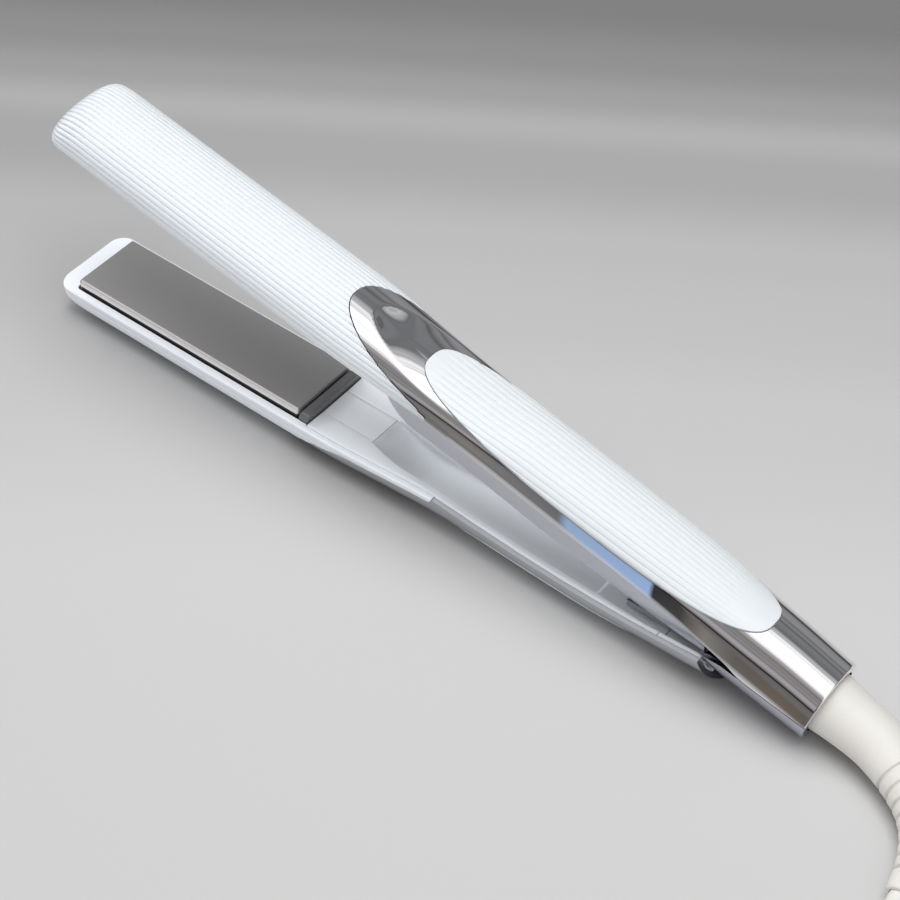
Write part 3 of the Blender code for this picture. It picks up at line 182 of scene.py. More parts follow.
def painted_room_reflection(m, base):
    """Painted reflection: the plating's base colour carries the room it mirrors, towards the open side a dark room, a
    blue window and a warm wall.
    """
    nt, ln, b = nodes_of(m)
    tc = nt.new("ShaderNodeTexCoord")
    sp = nt.new("ShaderNodeSeparateXYZ")
    ln.new(tc.outputs["Reflection"], sp.inputs["Vector"])
    ramp = nt.new("ShaderNodeValToRGB")
    mr = nt.new("ShaderNodeMapRange")
    mr.inputs["From Min"].default_value = -160.0 * MM
    mr.inputs["From Max"].default_value = 20.0 * MM
    place_x = nt.new("ShaderNodeSeparateXYZ")
    here = nt.new("ShaderNodeNewGeometry")
    ln.new(here.outputs["Position"], place_x.inputs["Vector"])
    off = nt.new("ShaderNodeMath")
    off.operation = "SUBTRACT"
    ln.new(place_x.outputs["X"], off.inputs[0])
    off.inputs[1].default_value = PIVOT.x
    ln.new(off.outputs["Value"], mr.inputs["Value"])
    ln.new(mr.outputs["Result"], ramp.inputs["Fac"])
    # painted reflection colours along the arm, picked by the plating's position
    stops = [(-160, (0.30, 0.285, 0.28)), (-125, (0.26, 0.25, 0.25)), (-100, (0.30, 0.285, 0.275)), (-69, (0.22, 0.215, 0.23)), (-66, (0.42, 0.58, 0.88)), (-38, (0.44, 0.62, 0.98)), (-37.3, (0.05, 0.05, 0.06)),
             (-28, (0.08, 0.075, 0.07)), (-20, (0.30, 0.28, 0.26)), (-10, (0.17, 0.16, 0.15)), (5, (0.20, 0.16, 0.13)), (20, (0.14, 0.13, 0.13))]
    el = ramp.color_ramp.elements
    el[0].position, el[0].color = 0.0, (*stops[0][1], 1)
    el[1].position, el[1].color = 1.0, (*stops[-1][1], 1)
    for x, c in stops[1:-1]:
        q = el.new((x + 160.0) / 180.0)
        q.color = (*c, 1)

    def window(sock, a, b_, c, d):
        up = nt.new("ShaderNodeMapRange")
        up.interpolation_type = "SMOOTHSTEP"
        for k, v in zip(("From Min", "From Max", "To Min", "To Max"), (a, b_, 0.0, 1.0)):
            up.inputs[k].default_value = v
        ln.new(sock, up.inputs["Value"])
        dn = nt.new("ShaderNodeMapRange")
        dn.interpolation_type = "SMOOTHSTEP"
        for k, v in zip(("From Min", "From Max", "To Min", "To Max"), (c, d, 1.0, 0.0)):
            dn.inputs[k].default_value = v
        ln.new(sock, dn.inputs["Value"])
        m_ = nt.new("ShaderNodeMath")
        m_.operation = "MULTIPLY"
        ln.new(up.outputs["Result"], m_.inputs[0])
        ln.new(dn.outputs["Result"], m_.inputs[1])
        return m_.outputs["Value"]
    wx = window(sp.outputs["X"], -0.40, -0.35, -0.14, -0.06)
    facing = nt.new("ShaderNodeMix")
    facing.data_type = "RGBA"
    ln.new(wx, facing.inputs["Factor"])
    facing.inputs[6].default_value = (0.22, 0.21, 0.205, 1)
    ln.new(ramp.outputs["Color"], facing.inputs[7])
    wy = window(sp.outputs["Y"], -1.5, -1.2, -0.62, -0.45)
    wz = window(sp.outputs["Z"], -1.3, -1.1, 0.02, 0.12)
    mul = nt.new("ShaderNodeMath")
    mul.operation = "MULTIPLY"
    ln.new(wy, mul.inputs[0])
    ln.new(wz, mul.inputs[1])
    geo = nt.new("ShaderNodeNewGeometry")
    dot = nt.new("ShaderNodeVectorMath")
    dot.operation = "DOT_PRODUCT"
    ln.new(geo.outputs["Incoming"], dot.inputs[0])
    ln.new(geo.outputs["Normal"], dot.inputs[1])
    askew = nt.new("ShaderNodeMapRange")
    for k, v in zip(("From Min", "From Max", "To Min", "To Max"), (0.97, 0.995, 1.0, 0.0)):
        askew.inputs[k].default_value = v
    ln.new(dot.outputs["Value"], askew.inputs["Value"])
    both = nt.new("ShaderNodeMath")
    both.operation = "MULTIPLY"
    ln.new(mul.outputs["Value"], both.inputs[0])
    ln.new(askew.outputs["Result"], both.inputs[1])
    mix = nt.new("ShaderNodeMix")
    mix.data_type = "RGBA"
    ln.new(both.outputs["Value"], mix.inputs["Factor"])
    mix.inputs[6].default_value = (*base, 1)
    ln.new(facing.outputs[2], mix.inputs[7])
    ln.new(mix.outputs[2], b.inputs["Base Color"])


# the upper plating carries the painted room reflection in its base colour
painted_room_reflection(MAT["chrome"], (0.83, 0.83, 0.85))
for key, slot_name in (("shell", "shell_plastic"), ("shell_low", "shell_plastic"), ("panel", "panel_plastic"), ("chrome", "chrome"), ("chrome_low_painted_shade", "chrome"), ("chrome_barrel", "chrome"), ("satin", "satin_metal"), ("plate", "plate_coating"),
                       ("frame", "frame_plastic"), ("rim", "plated_rim"), ("steel", "steel"), ("spring", "spring_steel"), ("brass", "brass"), ("ceramic", "ceramic"), ("silicone", "silicone"),
                       ("board", "circuit_board"), ("black", "black_plastic"), ("wire", "wire_sleeve"), ("boot", "cord_plastic"), ("lens", "light_window")):
    MAT[key]["slot"] = slot_name


# ---------------------------------------------------------------- laws along the arm (monotone cubic)
def law(table):
    X = np.array([t[0] for t in table], float)
    Y = np.array([t[1] for t in table], float)
    h = np.diff(X)
    d = np.diff(Y) / h
    m = np.zeros(len(X))
    m[0], m[-1] = d[0], d[-1]
    for i in range(1, len(X) - 1):
        if d[i - 1] * d[i] > 0:
            w1, w2 = 2 * h[i] + h[i - 1], h[i] + 2 * h[i - 1]
            m[i] = (w1 + w2) / (w1 / d[i - 1] + w2 / d[i])
    dense = np.arange(-320.0, 120.0, 0.1)
    v = np.empty_like(dense)
    for k, x in enumerate(dense):
        if x <= X[0]:
            v[k] = Y[0]
        elif x >= X[-1]:
            v[k] = Y[-1]
        else:
            i = int(np.searchsorted(X, x)) - 1
            t = (x - X[i]) / h[i]
            v[k] = (2 * t ** 3 - 3 * t ** 2 + 1) * Y[i] + (t ** 3 - 2 * t ** 2 + t) * h[i] * m[i] + (-2 * t ** 3 + 3 * t ** 2) * Y[i + 1] + (t ** 3 - t ** 2) * h[i] * m[i + 1]

    def f(x):
        return np.interp(x, dense, v)
    return f


def linear(table):
    X = [t[0] for t in table]
    Y = [t[1] for t in table]
    return lambda x: np.interp(x, X, Y)


half_w = law([(-165, 14.7), (-154, 14.7), (-146, 14.5), (-138, 14.1), (-128, 13.6), (-118, 13.05), (-108, 12.75), (-95, 12.6), (-30, 12.4), (BARREL_X, 11.7)])
top = law([(-175, 16.0), (-160, 16.0), (-150, 15.7), (-140, 14.9), (-128, 14.0), (-115, 13.5), (-84, 13.2), (-55, 12.4), (-25, 10.8), (-10, 9.4), (0, 8.5), (BARREL_X, 6.6)])
mid = law([(-170, 5.0), (-160, 5.0), (-100, 4.2), (-84, 3.6), (-30, 0.8), (-20, -1.0), (0, -3.3), (BARREL_X, BARREL_Z)])
bot = law([(-84, -16.0), (BARREL_X, -16.6)])
edge = law([(-180, RIM), (TAIL_X, RIM), (-100, 2.7), (-75, 1.7), (-42, 0.9), (-28, -0.3), (-18, -1.8), (-12, -3.0), (-8, -4.6), (-4, BARREL_Z), (BARREL_X, BARREL_Z)])
low_w = law([(-165, 14.7), (-154, 14.7), (-146, 14.5), (-138, 14.1), (-128, 13.6), (-118, 13.05), (-108, 12.75), (-95, 12.65), (-80, 12.7), (-60, 12.75), (-40, 12.6), (-20, 12.35)])
low_top = law([(-175, 16.0), (-160, 16.0), (-150, 15.8), (-135, 15.2), (-118, 14.9), (-100, 15.2), (-80, 16.2), (-60, 16.8), (-40, 16.3), (-20, 15.9)])
low_mid = law([(-170, 5.0), (-160, 5.0), (-118, 4.8), (-100, 5.2), (-80, 6.2), (-60, 6.8), (-40, 6.0), (-20, 5.2)])
low_rim = law([(-130, RIM), (-118, RIM), (-113, 3.85), (-106, 4.6), (-98, 5.4), (-88, 6.1), (-76, 6.7), (-60, 7.0), (-44, 6.9), (-32, 6.3), (-20, 5.6)])

# oval crease round the front of the inlay: inside it the plating dips
OV_X, OV_L, OV_W, OV_P = -110.0, 37.4, 11.0, 2.1
FACET_H, FACET_L, FACET_SOFT = 1.15, 3.2, 0.30


def facet(x, y):
    x, y = np.asarray(x, float), np.asarray(y, float)

    def radial(x, y):
        u = np.maximum(OV_X - x, 0.0) / OV_L
        v = np.abs(y) / OV_W
        return (u ** OV_P + v ** OV_P + 1e-12) ** (1 / OV_P)
    r = radial(x, y)
    h = 0.01
    gx = (radial(x + h, y) - radial(x - h, y)) / (2 * h)
    gy = (radial(x, y + h) - radial(x, y - h)) / (2 * h)
    d = (1 - r) / np.maximum(np.sqrt(gx * gx + gy * gy), 1 / OV_L)
    d = np.clip(d, -8, 14)
    d = FACET_SOFT * np.log1p(np.exp(np.clip(d / FACET_SOFT, -40, 40)))
    fade = np.clip((-86.0 - x) / 18.0, 0, 1)
    fade = fade * fade * (3 - 2 * fade)
    return FACET_H * (1 - np.exp(-d / FACET_L)) * fade


def section(x, zlo, inset=0.0, lower=False, fine=260):
    """Outer outline from the near side over the crown to the far side, (y, z) in mm."""
    a = float(low_w(x) if lower else half_w(x)) - inset
    T = float(low_top(x) if lower else top(x)) - inset
    c = float(low_mid(x) if lower else mid(x))
    B = (-30.0 if lower else float(bot(x))) + inset
    e = 2.0 / POW
    pts = []
    if zlo < c:
        z = np.linspace(zlo, c, 25)[:-1]
        pts.append(np.column_stack([-a * np.maximum(1 - ((c - z) / (c - B)) ** POW, 0) ** (1 / POW), z]))
        f0 = 0.0
    else:
        f0 = math.asin(min(1.0, ((zlo - c) / (T - c)) ** (POW / 2)))
    f = np.linspace(f0, math.pi / 2, fine + 1)
    pts.append(np.column_stack([-a * np.maximum(np.cos(f), 0) ** e, c + (T - c) * np.sin(f) ** e]))
    left = np.vstack(pts)
    left[-1, 0] = 0.0
    right = left[:-1][::-1] * np.array([-1, 1])
    return np.vstack([left, right])


def along(line, marks):
    """Points at the given fractions of the line's length and the outward normals."""
    seg = np.hypot(*np.diff(line, axis=0).T)
    s = np.concatenate([[0], np.cumsum(seg)])
    q = np.asarray(marks) * s[-1]
    p = np.column_stack([np.interp(q, s, line[:, 0]), np.interp(q, s, line[:, 1])])
    eps = 0.05
    a = np.column_stack([np.interp(q - eps, s, line[:, 0]), np.interp(q - eps, s, line[:, 1])])
    b = np.column_stack([np.interp(q + eps, s, line[:, 0]), np.interp(q + eps, s, line[:, 1])])
    t = b - a
    t /= np.maximum(np.hypot(t[:, 0], t[:, 1]), 1e-9)[:, None]
    return p, np.column_stack([-t[:, 1], t[:, 0]])


def reed_marks(count, band, edge_n=5):
    """Marks round the section and how deep each lies in the valley between two convex reeds."""
    ts = (0.0, 0.035, 0.10, 0.20, 0.34, 0.5, 0.66, 0.80, 0.90, 0.965)
    marks, deep = list(np.linspace(0, band, edge_n, endpoint=False)), [0.0] * edge_n
    for k in range(count):
        for t in ts:
            marks.append(band + (1 - 2 * band) * (k + t) / count)
            v = abs(2 * t - 1)
            deep.append(1 - (1 - v ** 2.2) ** (1 / 1.9))
    marks.append(1 - band)
    deep.append(1.0)
    marks += list(np.linspace(1 - band, 1, edge_n + 1)[1:])
    deep += [0.0] * edge_n
    deep[edge_n] = 1.0
    return np.array(marks), np.array(deep)


# ---------------------------------------------------------------- mesh helpers
def mesh_from(verts, faces, name):
    me = bpy.data.meshes.new(name)
    me.from_pydata([tuple(v) for v in np.asarray(verts) * MM], [], faces)
    bm = bmesh.new()
    bm.from_mesh(me)
    bmesh.ops.remove_doubles(bm, verts=bm.verts, dist=2e-6)
    bmesh.ops.recalc_face_normals(bm, faces=bm.faces)
    bm.to_mesh(me)
    bm.free()
    return me


def new_object(name, me, matrix=None):
    ob = bpy.data.objects.new(name, me)
    SC.collection.objects.link(ob)
    if matrix is not None:
        ob.matrix_world = matrix
    return ob


def grid_solid(name, rings):
    """Closed solid through rings of one point count (mm); returns an object at the origin."""
    R = np.asarray(rings, float)
    m, n = R.shape[:2]
    faces = []
    for i in range(m - 1):
        for j in range(n):
            k = (j + 1) % n
            faces.append((i * n + j, i * n + k, (i + 1) * n + k, (i + 1) * n + j))
    faces.append(tuple(range(n)))
    faces.append(tuple((m - 1) * n + j for j in reversed(range(n))))
    return new_object(name, mesh_from(R.reshape(-1, 3), faces, name))


def apply_mods(ob):
    dg = bpy.context.evaluated_depsgraph_get()
    dg.update()
    me = bpy.data.meshes.new_from_object(ob.evaluated_get(dg))
    ob.modifiers.clear()
    old = ob.data
    ob.data = me
    bpy.data.meshes.remove(old)
    return ob


def boolean(ob, cutter, op="DIFFERENCE", keep=False):
    m = ob.modifiers.new("b", "BOOLEAN")
    m.operation = op
    m.object = cutter
    m.solver = "EXACT"
    apply_mods(ob)
    if not keep:
        me = cutter.data
        bpy.data.objects.remove(cutter, do_unlink=True)
        bpy.data.meshes.remove(me)
    return ob


def bevel(ob, width, segments=2, angle=30):
    m = ob.modifiers.new("v", "BEVEL")
    m.width = width * MM
    m.segments = segments
    m.limit_method = "ANGLE"
    m.angle_limit = math.radians(angle)
    m.harden_normals = False
    apply_mods(ob)
    return ob


def smooth(ob, angle=35):
    ob.data.shade_smooth()
    ob.data.set_sharp_from_angle(angle=math.radians(angle))
    return ob


def dress(ob, mats):
    ob.data.materials.clear()
    for k in (mats if isinstance(mats, (list, tuple)) else [mats]):
        ob.data.materials.append(MAT[k])
    return ob


def place(ob, body, mats, *cad, angle=35, sm=True):
    if sm:
        smooth(ob, angle)
    dress(ob, mats)
    ob.data.transform(ARM[body])
    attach(ob, body)
    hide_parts(*cad)
    return ob


def box_solid(name, lo, hi):
    bm = bmesh.new()
    lo, hi = Vector(lo), Vector(hi)
    for i in range(3):
        if lo[i] > hi[i]:
            lo[i], hi[i] = hi[i], lo[i]
    bmesh.ops.create_cube(bm, size=1.0)
    bmesh.ops.scale(bm, vec=(hi - lo) * MM, verts=bm.verts)
    bmesh.ops.translate(bm, vec=(hi + lo) * 0.5 * MM, verts=bm.verts)
    me = bpy.data.meshes.new(name)
    bm.to_mesh(me)
    bm.free()
    return new_object(name, me)


def cylinder(name, p0, p1, r, seg=64):
    p0, p1 = Vector(p0), Vector(p1)
    d = p1 - p0
    bm = bmesh.new()
    bmesh.ops.create_cone(bm, cap_ends=True, segments=seg, radius1=r * MM, radius2=r * MM, depth=d.length * MM)
    q = d.to_track_quat("Z", "Y").to_matrix().to_4x4()
    bm.transform(Matrix.Translation((p0 + p1) * 0.5 * MM) @ q)
    me = bpy.data.meshes.new(name)
    bm.to_mesh(me)
    bm.free()
    return new_object(name, me)


def prism_z(name, outline, z0, z1):
    return grid_solid(name, [[(x, y, z0) for x, y in outline], [(x, y, z1) for x, y in outline]])


def prism_y(name, outline, y0, y1):
    return grid_solid(name, [[(x, y0, z) for x, z in outline], [(x, y1, z) for x, z in outline]])


def fillet(pts, radii, k=5):
    """Open polyline with rounded corners; every inner corner gives k points, so rings match."""
    out = [np.array(pts[0], float)]
    for i in range(1, len(pts) - 1):
        p, a, b = (np.array(pts[i], float), np.array(pts[i - 1], float), np.array(pts[i + 1], float))
        u, v = a - p, b - p
        lu, lv = np.linalg.norm(u), np.linalg.norm(v)
        r = min(radii[i], lu * 0.45, lv * 0.45)
        u, v = u / max(lu, 1e-9), v / max(lv, 1e-9)
        for j in range(k):
            t = j / (k - 1)
            out.append((p + u * r) * (1 - t) ** 2 + 2 * p * t * (1 - t) + (p + v * r) * t * t)
    out.append(np.array(pts[-1], float))
    return np.array(out)


def superellipse_outline(cx, L, w, p, n=160):
    out = []
    for i in range(n):
        f = 2 * math.pi * i / n
        c, s = math.cos(f), math.sin(f)
        out.append((cx + L * math.copysign(abs(c) ** (2 / p), c), w * math.copysign(abs(s) ** (2 / p), s)))
    return out


def lobe_outline(grow, rear, n=70):
    p, x_end = 2.3, -108.0
    L = x_end - LOBE_X
    f = np.linspace(0, math.pi / 2, n + 1)
    x = x_end - L * np.cos(f) ** (2 / p)
    y = half_w(x) * np.sin(f) ** (2 / p)
    P = np.column_stack([x, y])
    T = np.gradient(P, axis=0)
    T /= np.maximum(np.hypot(T[:, 0], T[:, 1]), 1e-9)[:, None]
    Q = P + np.column_stack([-T[:, 1], T[:, 0]]) * grow
    Q[0] = (P[0, 0] - grow, 0.0)
    side = [tuple(q) for q in Q if q[0] < UP_TAIL_X]
    side += [(UP_TAIL_X + 0.5, 20.0), (rear, 20.0)]
    return [(a, b) for a, b in reversed(side)] + [(a, -b) for a, b in side[1:]]


def belt_outline(grow):
    """Side outline of the lower plated cover's front, which wraps up behind the head shell."""
    line = [(-172.5, -17.2), (-170.5, -14.8), (-167.0, -12.3), (-163.0, -10.2), (-157.0, -8.2), (-150.0, -6.7), (-142.0, -5.9), (-130.0, -5.5), (TAIL_X - 1.6, -5.35), (TAIL_X - 0.8, -5.15),
            (TAIL_X - 0.25, -4.65), (TAIL_X, -4.0), (TAIL_X, -2.0)]
    moved = [(x - grow, z + grow) for x, z in line[:9]] + [(x - grow, z + grow * 0.5) for x, z in line[9:]]
    return moved + [(60.0, -2.0), (60.0, -40.0), (-172.5 - grow, -40.0)]


def nose_law(x):
    u = min(max((NOSE_X - x) / (NOSE_X - TIP_X), 0.0), 1.0)
    sh = max((1 - u ** 3.0), 0.0) ** (1 / 3.0)
    d = min(max(x - TIP_X, 0.0), 5.0)
    sa = 1 - (5.0 / 14.7) * (1 - math.sqrt(max(1 - ((5.0 - d) / 5.0) ** 2, 0.0)))
    return max(sh, 0.16), sa


def xs_range(a, b, step):
    n = max(int(round((b - a) / step)), 1)
    return [a + (b - a) * i / n for i in range(n + 1)]


def dome_rings(xs, zlo, sign=1, inset=0.0, n=61, lower=False, nose=None, dip=True, reeds=None, depth=None, rim_r=0.0):
    rings = []
    for x in xs:
        base = float(zlo(x))
        line = section(x, base, inset, lower)
        if reeds is not None:
            marks, deep = reeds
        else:
            marks, deep = np.linspace(0, 1, n), np.zeros(n)
        p, nrm = along(line, marks)
        if depth is not None:
            p = p - nrm * (deep * depth(x))[:, None]
        if rim_r:
            # rounded rim: points within rim_r of the chord are drawn in
            h = np.clip(p[:, 1] - base, 0, rim_r)
            inn = rim_r - np.sqrt(np.maximum(rim_r ** 2 - (rim_r - h) ** 2, 0))
            p[:, 0] -= np.sign(p[:, 0]) * inn
        y, z = p[:, 0], p[:, 1]
        if dip:
            z = z - facet(np.full_like(y, x), y)
        sh, sa = nose(x) if nose else (1.0, 1.0)
        z = base + (z - base) * sh
        rings.append(np.column_stack([np.full_like(y, x), y * sa, sign * z]))
    return rings


# ---------------------------------------------------------------- exact normals for the plated covers
def implicit(x, y, z, lower):
    a = low_w(x) if lower else half_w(x)
    T = low_top(x) if lower else top(x)
    c = low_mid(x) if lower else mid(x)
    B = np.full_like(x, -30.0) if lower else bot(x)
    zz = z + facet(x, y)
    v = np.where(zz >= c, (np.abs(zz - c) / (T - c)) ** POW, (np.abs(c - zz) / (c - B)) ** POW)
    return (np.abs(y / a) ** POW + v) ** (1 / POW) - 1


def plated_normals(ob, lower, tol=0.035, angle=35):
    """Sets the loop normals of the faces that lie on the outer surface to the surface's own."""
    me = ob.data
    smooth(ob, angle)
    n = len(me.vertices)
    co = np.empty(n * 3)
    me.vertices.foreach_get("co", co)
    co = co.reshape(-1, 3) / MM
    s = -1.0 if lower else 1.0
    x, y, z = co[:, 0], co[:, 1], co[:, 2] * s
    h = 0.12
    F = implicit(x, y, z, lower)
    g = np.column_stack([implicit(x + h, y, z, lower) - implicit(x - h, y, z, lower),
                         implicit(x, y + h, z, lower) - implicit(x, y - h, z, lower),
                         implicit(x, y, z + h, lower) - implicit(x, y, z - h, lower)]) / (2 * h)
    L = np.maximum(np.linalg.norm(g, axis=1), 1e-9)
    dist = F / L
    g = g / L[:, None]
    g[:, 2] *= s
    ok = np.abs(dist) < tol
    nl = len(me.loops)
    lv = np.empty(nl, int)
    me.loops.foreach_get("vertex_index", lv)
    cn = np.empty(nl * 3)
    me.corner_normals.foreach_get("vector", cn)
    cn = cn.reshape(-1, 3)
    np_ = len(me.polygons)
    st, tot = np.empty(np_, int), np.empty(np_, int)
    me.polygons.foreach_get("loop_start", st)
    me.polygons.foreach_get("loop_total", tot)
    fn = np.empty(np_ * 3)
    me.polygons.foreach_get("normal", fn)
    fn = fn.reshape(-1, 3)
    out = cn.copy()
    for i in range(np_):
        idx = slice(st[i], st[i] + tot[i])
        v = lv[idx]
        if ok[v].all() and (g[v] @ fn[i]).min() > 0.75:
            out[idx] = g[v]
    me.normals_split_custom_set([tuple(v) for v in out])


# ---------------------------------------------------------------- head shells
NOSE_XS = [TIP_X + d for d in (0.0, 0.06, 0.2, 0.45, 0.8, 1.25, 1.8, 2.5, 3.4, 4.5, 5.8, 7.2, 8.8, 10.5, 12.2, 13.9)]
HEAD_XS = NOSE_XS + xs_range(-244.0, -166.0, 6.0) + xs_range(-162.0, -106.0, 2.0)
HEAD_REEDS = reed_marks(REEDS, 0.06)


def head_depth(x):
    u = np.clip((NOSE_X - x) / (NOSE_X - TIP_X), 0, 1)
    t = np.clip((x + 142.0) / 22.0, 0, 1)
    return REED_DEPTH * (0.9 + 1.9 * u) * (1 - 0.7 * t * t * (3 - 2 * t))


def cavity_nose(x):
    return (float(np.interp(x, [-255.7, -251.0, -247.0], [0.90, 0.97, 1.0])), 1.0)


def head_shell(name, s, body):
    low = s < 0
    ob = grid_solid(name, dome_rings(HEAD_XS, lambda x: RIM, s, lower=low, nose=nose_law, reeds=HEAD_REEDS, depth=head_depth, dip=False, rim_r=0.55))
    inner = grid_solid("c", dome_rings([-255.7, -253.0, -251.0, -247.0] + xs_range(-230.0, -160.0, 14.0) + xs_range(-155.0, -97.0, 4.0), lambda x: RIM + FLANGE, s, inset=SHELL_WALL, n=61, lower=low,
                                       nose=cavity_nose, dip=False))
    boolean(ob, inner)
    m = MOUTH_W
    mouth = prism_z("c", [(-255.4 + 1.1, -m), (-158.0, -m), (-158.0, m), (-255.4 + 1.1, m), (-255.05, m - 0.35), (-255.4, m - 1.1), (-255.4, -m + 1.1), (-255.05, -m + 0.35)], s * 1.0, s * (RIM + 1.6))
    boolean(ob, mouth)
    rear = grid_solid("c", dome_rings([FRAME_X1 + 0.15] + xs_range(-158.0, -97.0, 3.0), lambda x: RIM - 1.0, s, inset=SHELL_WALL, n=61, lower=low, dip=False))
    boolean(ob, rear)
    if low:
        boolean(ob, prism_y("c", belt_outline(0.1), -30, 30))
    else:
        boolean(ob, prism_z("c", lobe_outline(0.15, -60.0), -40, 40))
    if low:
        cut = box_solid("c", (-120, -40, -30), (300, 40, 0))
        cut.matrix_world = M_LOW.inverted()
        boolean(ob, cut)
    # the lower head shell takes the lighter copy of the shell plastic: painted light
    return place(ob, body, "shell_low" if low else "shell", name, angle=40)


head_shell("upper_head_shell", 1, "upper_arm")
head_shell("lower_head_shell", -1, "lower_arm")


# ---------------------------------------------------------------- plated grip covers and their inlays
def cover(name, s, body, cx, L, cuts):
    low = s < 0
    zlo = low_rim if low else edge
    if low:
        xs = xs_range(-176.0, -10.0, 1.5)
    else:
        xs = xs_range(-158.0, 13.5, 1.25) + [BARREL_X - 0.5, BARREL_X - 0.25, BARREL_X - 0.08, BARREL_X]

    rings = dome_rings(xs, zlo, s, n=141, lower=low)
    if not low:
        # the rear edge is broken by a small radius
        for k, sh in ((len(xs) - 3, 0.07), (len(xs) - 2, 0.22), (len(xs) - 1, 0.5)):
            r = rings[k]
            c = np.array([0, BARREL_Z])
            d = r[:, 1:] - c
            q = np.maximum(np.linalg.norm(d, axis=1), 1e-6)[:, None]
            d = d * (1 - sh / q)
            d[0, 1] = d[-1, 1] = 0.0
            r[:, 1:] = c + d
    ob = grid_solid(name, rings)
    ixs = xs_range(-179.0 if low else -161.0, (BARREL_X - 1.5) if not low else -4.0, 4.0)
    inner = grid_solid("c", dome_rings(ixs, lambda x: float(zlo(x)) - 1.0, s, inset=COVER_WALL, n=61, lower=low))
    boolean(ob, inner)
    if low:
        boolean(ob, prism_y("c", belt_outline(-0.1), -30, 30), "INTERSECT")
    else:
        boolean(ob, prism_z("c", lobe_outline(-0.15, 60.0), -40, 40), "INTERSECT")
    seat = prism_z("c", superellipse_outline(cx, L + GAP, GRIP_W + GAP, GRIP_P), s * 3.0, s * 30.0)
    gxs = xs_range(-134.0, min(cx + L + 8, -2.0), 3.0)
    boolean(seat, grid_solid("c", dome_rings(gxs, lambda x: 2.0, s, inset=0.8, n=61, lower=low)))
    boolean(ob, seat)
    for c in cuts:
        boolean(ob, c)
    plated_normals(ob, low)
    # the lower cover takes the darker copy of the chrome plating: painted shade
    ob = place(ob, body, ["chrome_low_painted_shade", "rim"] if low else "chrome", name, sm=False)
    if low:
        # faces that point up in the world take the pale rim finish: a painted highlight along the plated edge
        for poly in ob.data.polygons:
            if poly.normal.z > 0.93:
                poly.material_index = 1
    return ob


def inlay(name, s, body, cx, L):
    low = s < 0
    gxs = xs_range(-134.0, min(cx + L + 6, -3.0), 1.6)

    def depth(x):
        t = min(max(min((x - (cx - L)) / 12.0, ((cx + L) - x) / 34.0), 0.0), 1.0)
        return 0.25 * t * t * (3 - 2 * t)
    ob = grid_solid(name, dome_rings(gxs, (lambda x: 8.2) if low else (lambda x: 5.6), s, inset=-0.2, lower=low, reeds=reed_marks(15, 0.05, 3), depth=depth))
    under = grid_solid("c", dome_rings(xs_range(-138.0, min(cx + L + 10, 2.0), 4.0), lambda x: 2.5, s, inset=0.5, n=61, lower=low))
    boolean(ob, under)
    boolean(ob, prism_z("c", superellipse_outline(cx, L, GRIP_W, GRIP_P, 220), s * 3.0, s * 30.0), "INTERSECT")
    return place(ob, body, "shell", name, angle=45)


def bore():
    return cylinder("c", (8, 0, BARREL_Z), (20, 0, BARREL_Z), 9.75, 96)


cover("upper_chrome_cover", 1, "upper_arm", GRIP_CX, GRIP_L, [bore()])
cover("lower_chrome_cover", -1, "lower_arm", LOW_GRIP_CX, LOW_GRIP_L, [cylinder("c", (0, -30, 0), (0, 30, 0), LOW_END_R, 160)])
inlay("upper_grip_inlay", 1, "upper_arm", GRIP_CX, GRIP_L)
inlay("lower_grip_inlay", -1, "lower_arm", LOW_GRIP_CX, LOW_GRIP_L)


# ---------------------------------------------------------------- barrel lower cover
def lower_half(x, inset, n, drop=GAP):
    a, c, B = float(half_w(x)) - inset, float(mid(x)), float(bot(x)) + inset
    zt = min(float(edge(x)) - drop, c)
    f0 = math.asin(min(1.0, ((c - zt) / (c - B)) ** (POW / 2))) if zt < c else 0.0
    f = np.linspace(f0, math.pi / 2, 120)
    e = 2 / POW
    left = np.column_stack([-a * np.maximum(np.cos(f), 0) ** e, c - (c - B) * np.sin(f) ** e])
    left[-1, 0] = 0.0
    return along(np.vstack([left, left[:-1][::-1] * np.array([-1, 1])]), np.linspace(0, 1, n))[0]


bxs = xs_range(-24.0, 13.5, 1.25) + [BARREL_X - 0.5, BARREL_X - 0.25, BARREL_X - 0.08, BARREL_X]
rings = []
for k, x in enumerate(bxs):
    p = lower_half(x, 0.0, 101)
    sh = {len(bxs) - 3: 0.07, len(bxs) - 2: 0.22, len(bxs) - 1: 0.5}.get(k, 0.0)
    if sh:
        d = p - np.array([0, BARREL_Z])
        q = np.maximum(np.linalg.norm(d, axis=1), 1e-6)[:, None]
        z0 = p[0, 1]
        p = np.array([0, BARREL_Z]) + d * (1 - sh / q)
        p[0, 1] = p[-1, 1] = z0
    rings.append(np.column_stack([np.full(len(p), x), p]))
barrel = grid_solid("barrel_lower_cover", rings)
rings = []
for x in xs_range(-27.0, BARREL_X - 1.5, 3.0):
    p = lower_half(x, COVER_WALL, 61)
    p[0, 1] += 4.0
    p[-1, 1] += 4.0
    rings.append(np.column_stack([np.full(len(p), x), p]))
boolean(barrel, grid_solid("c", rings))
boolean(barrel, bore())
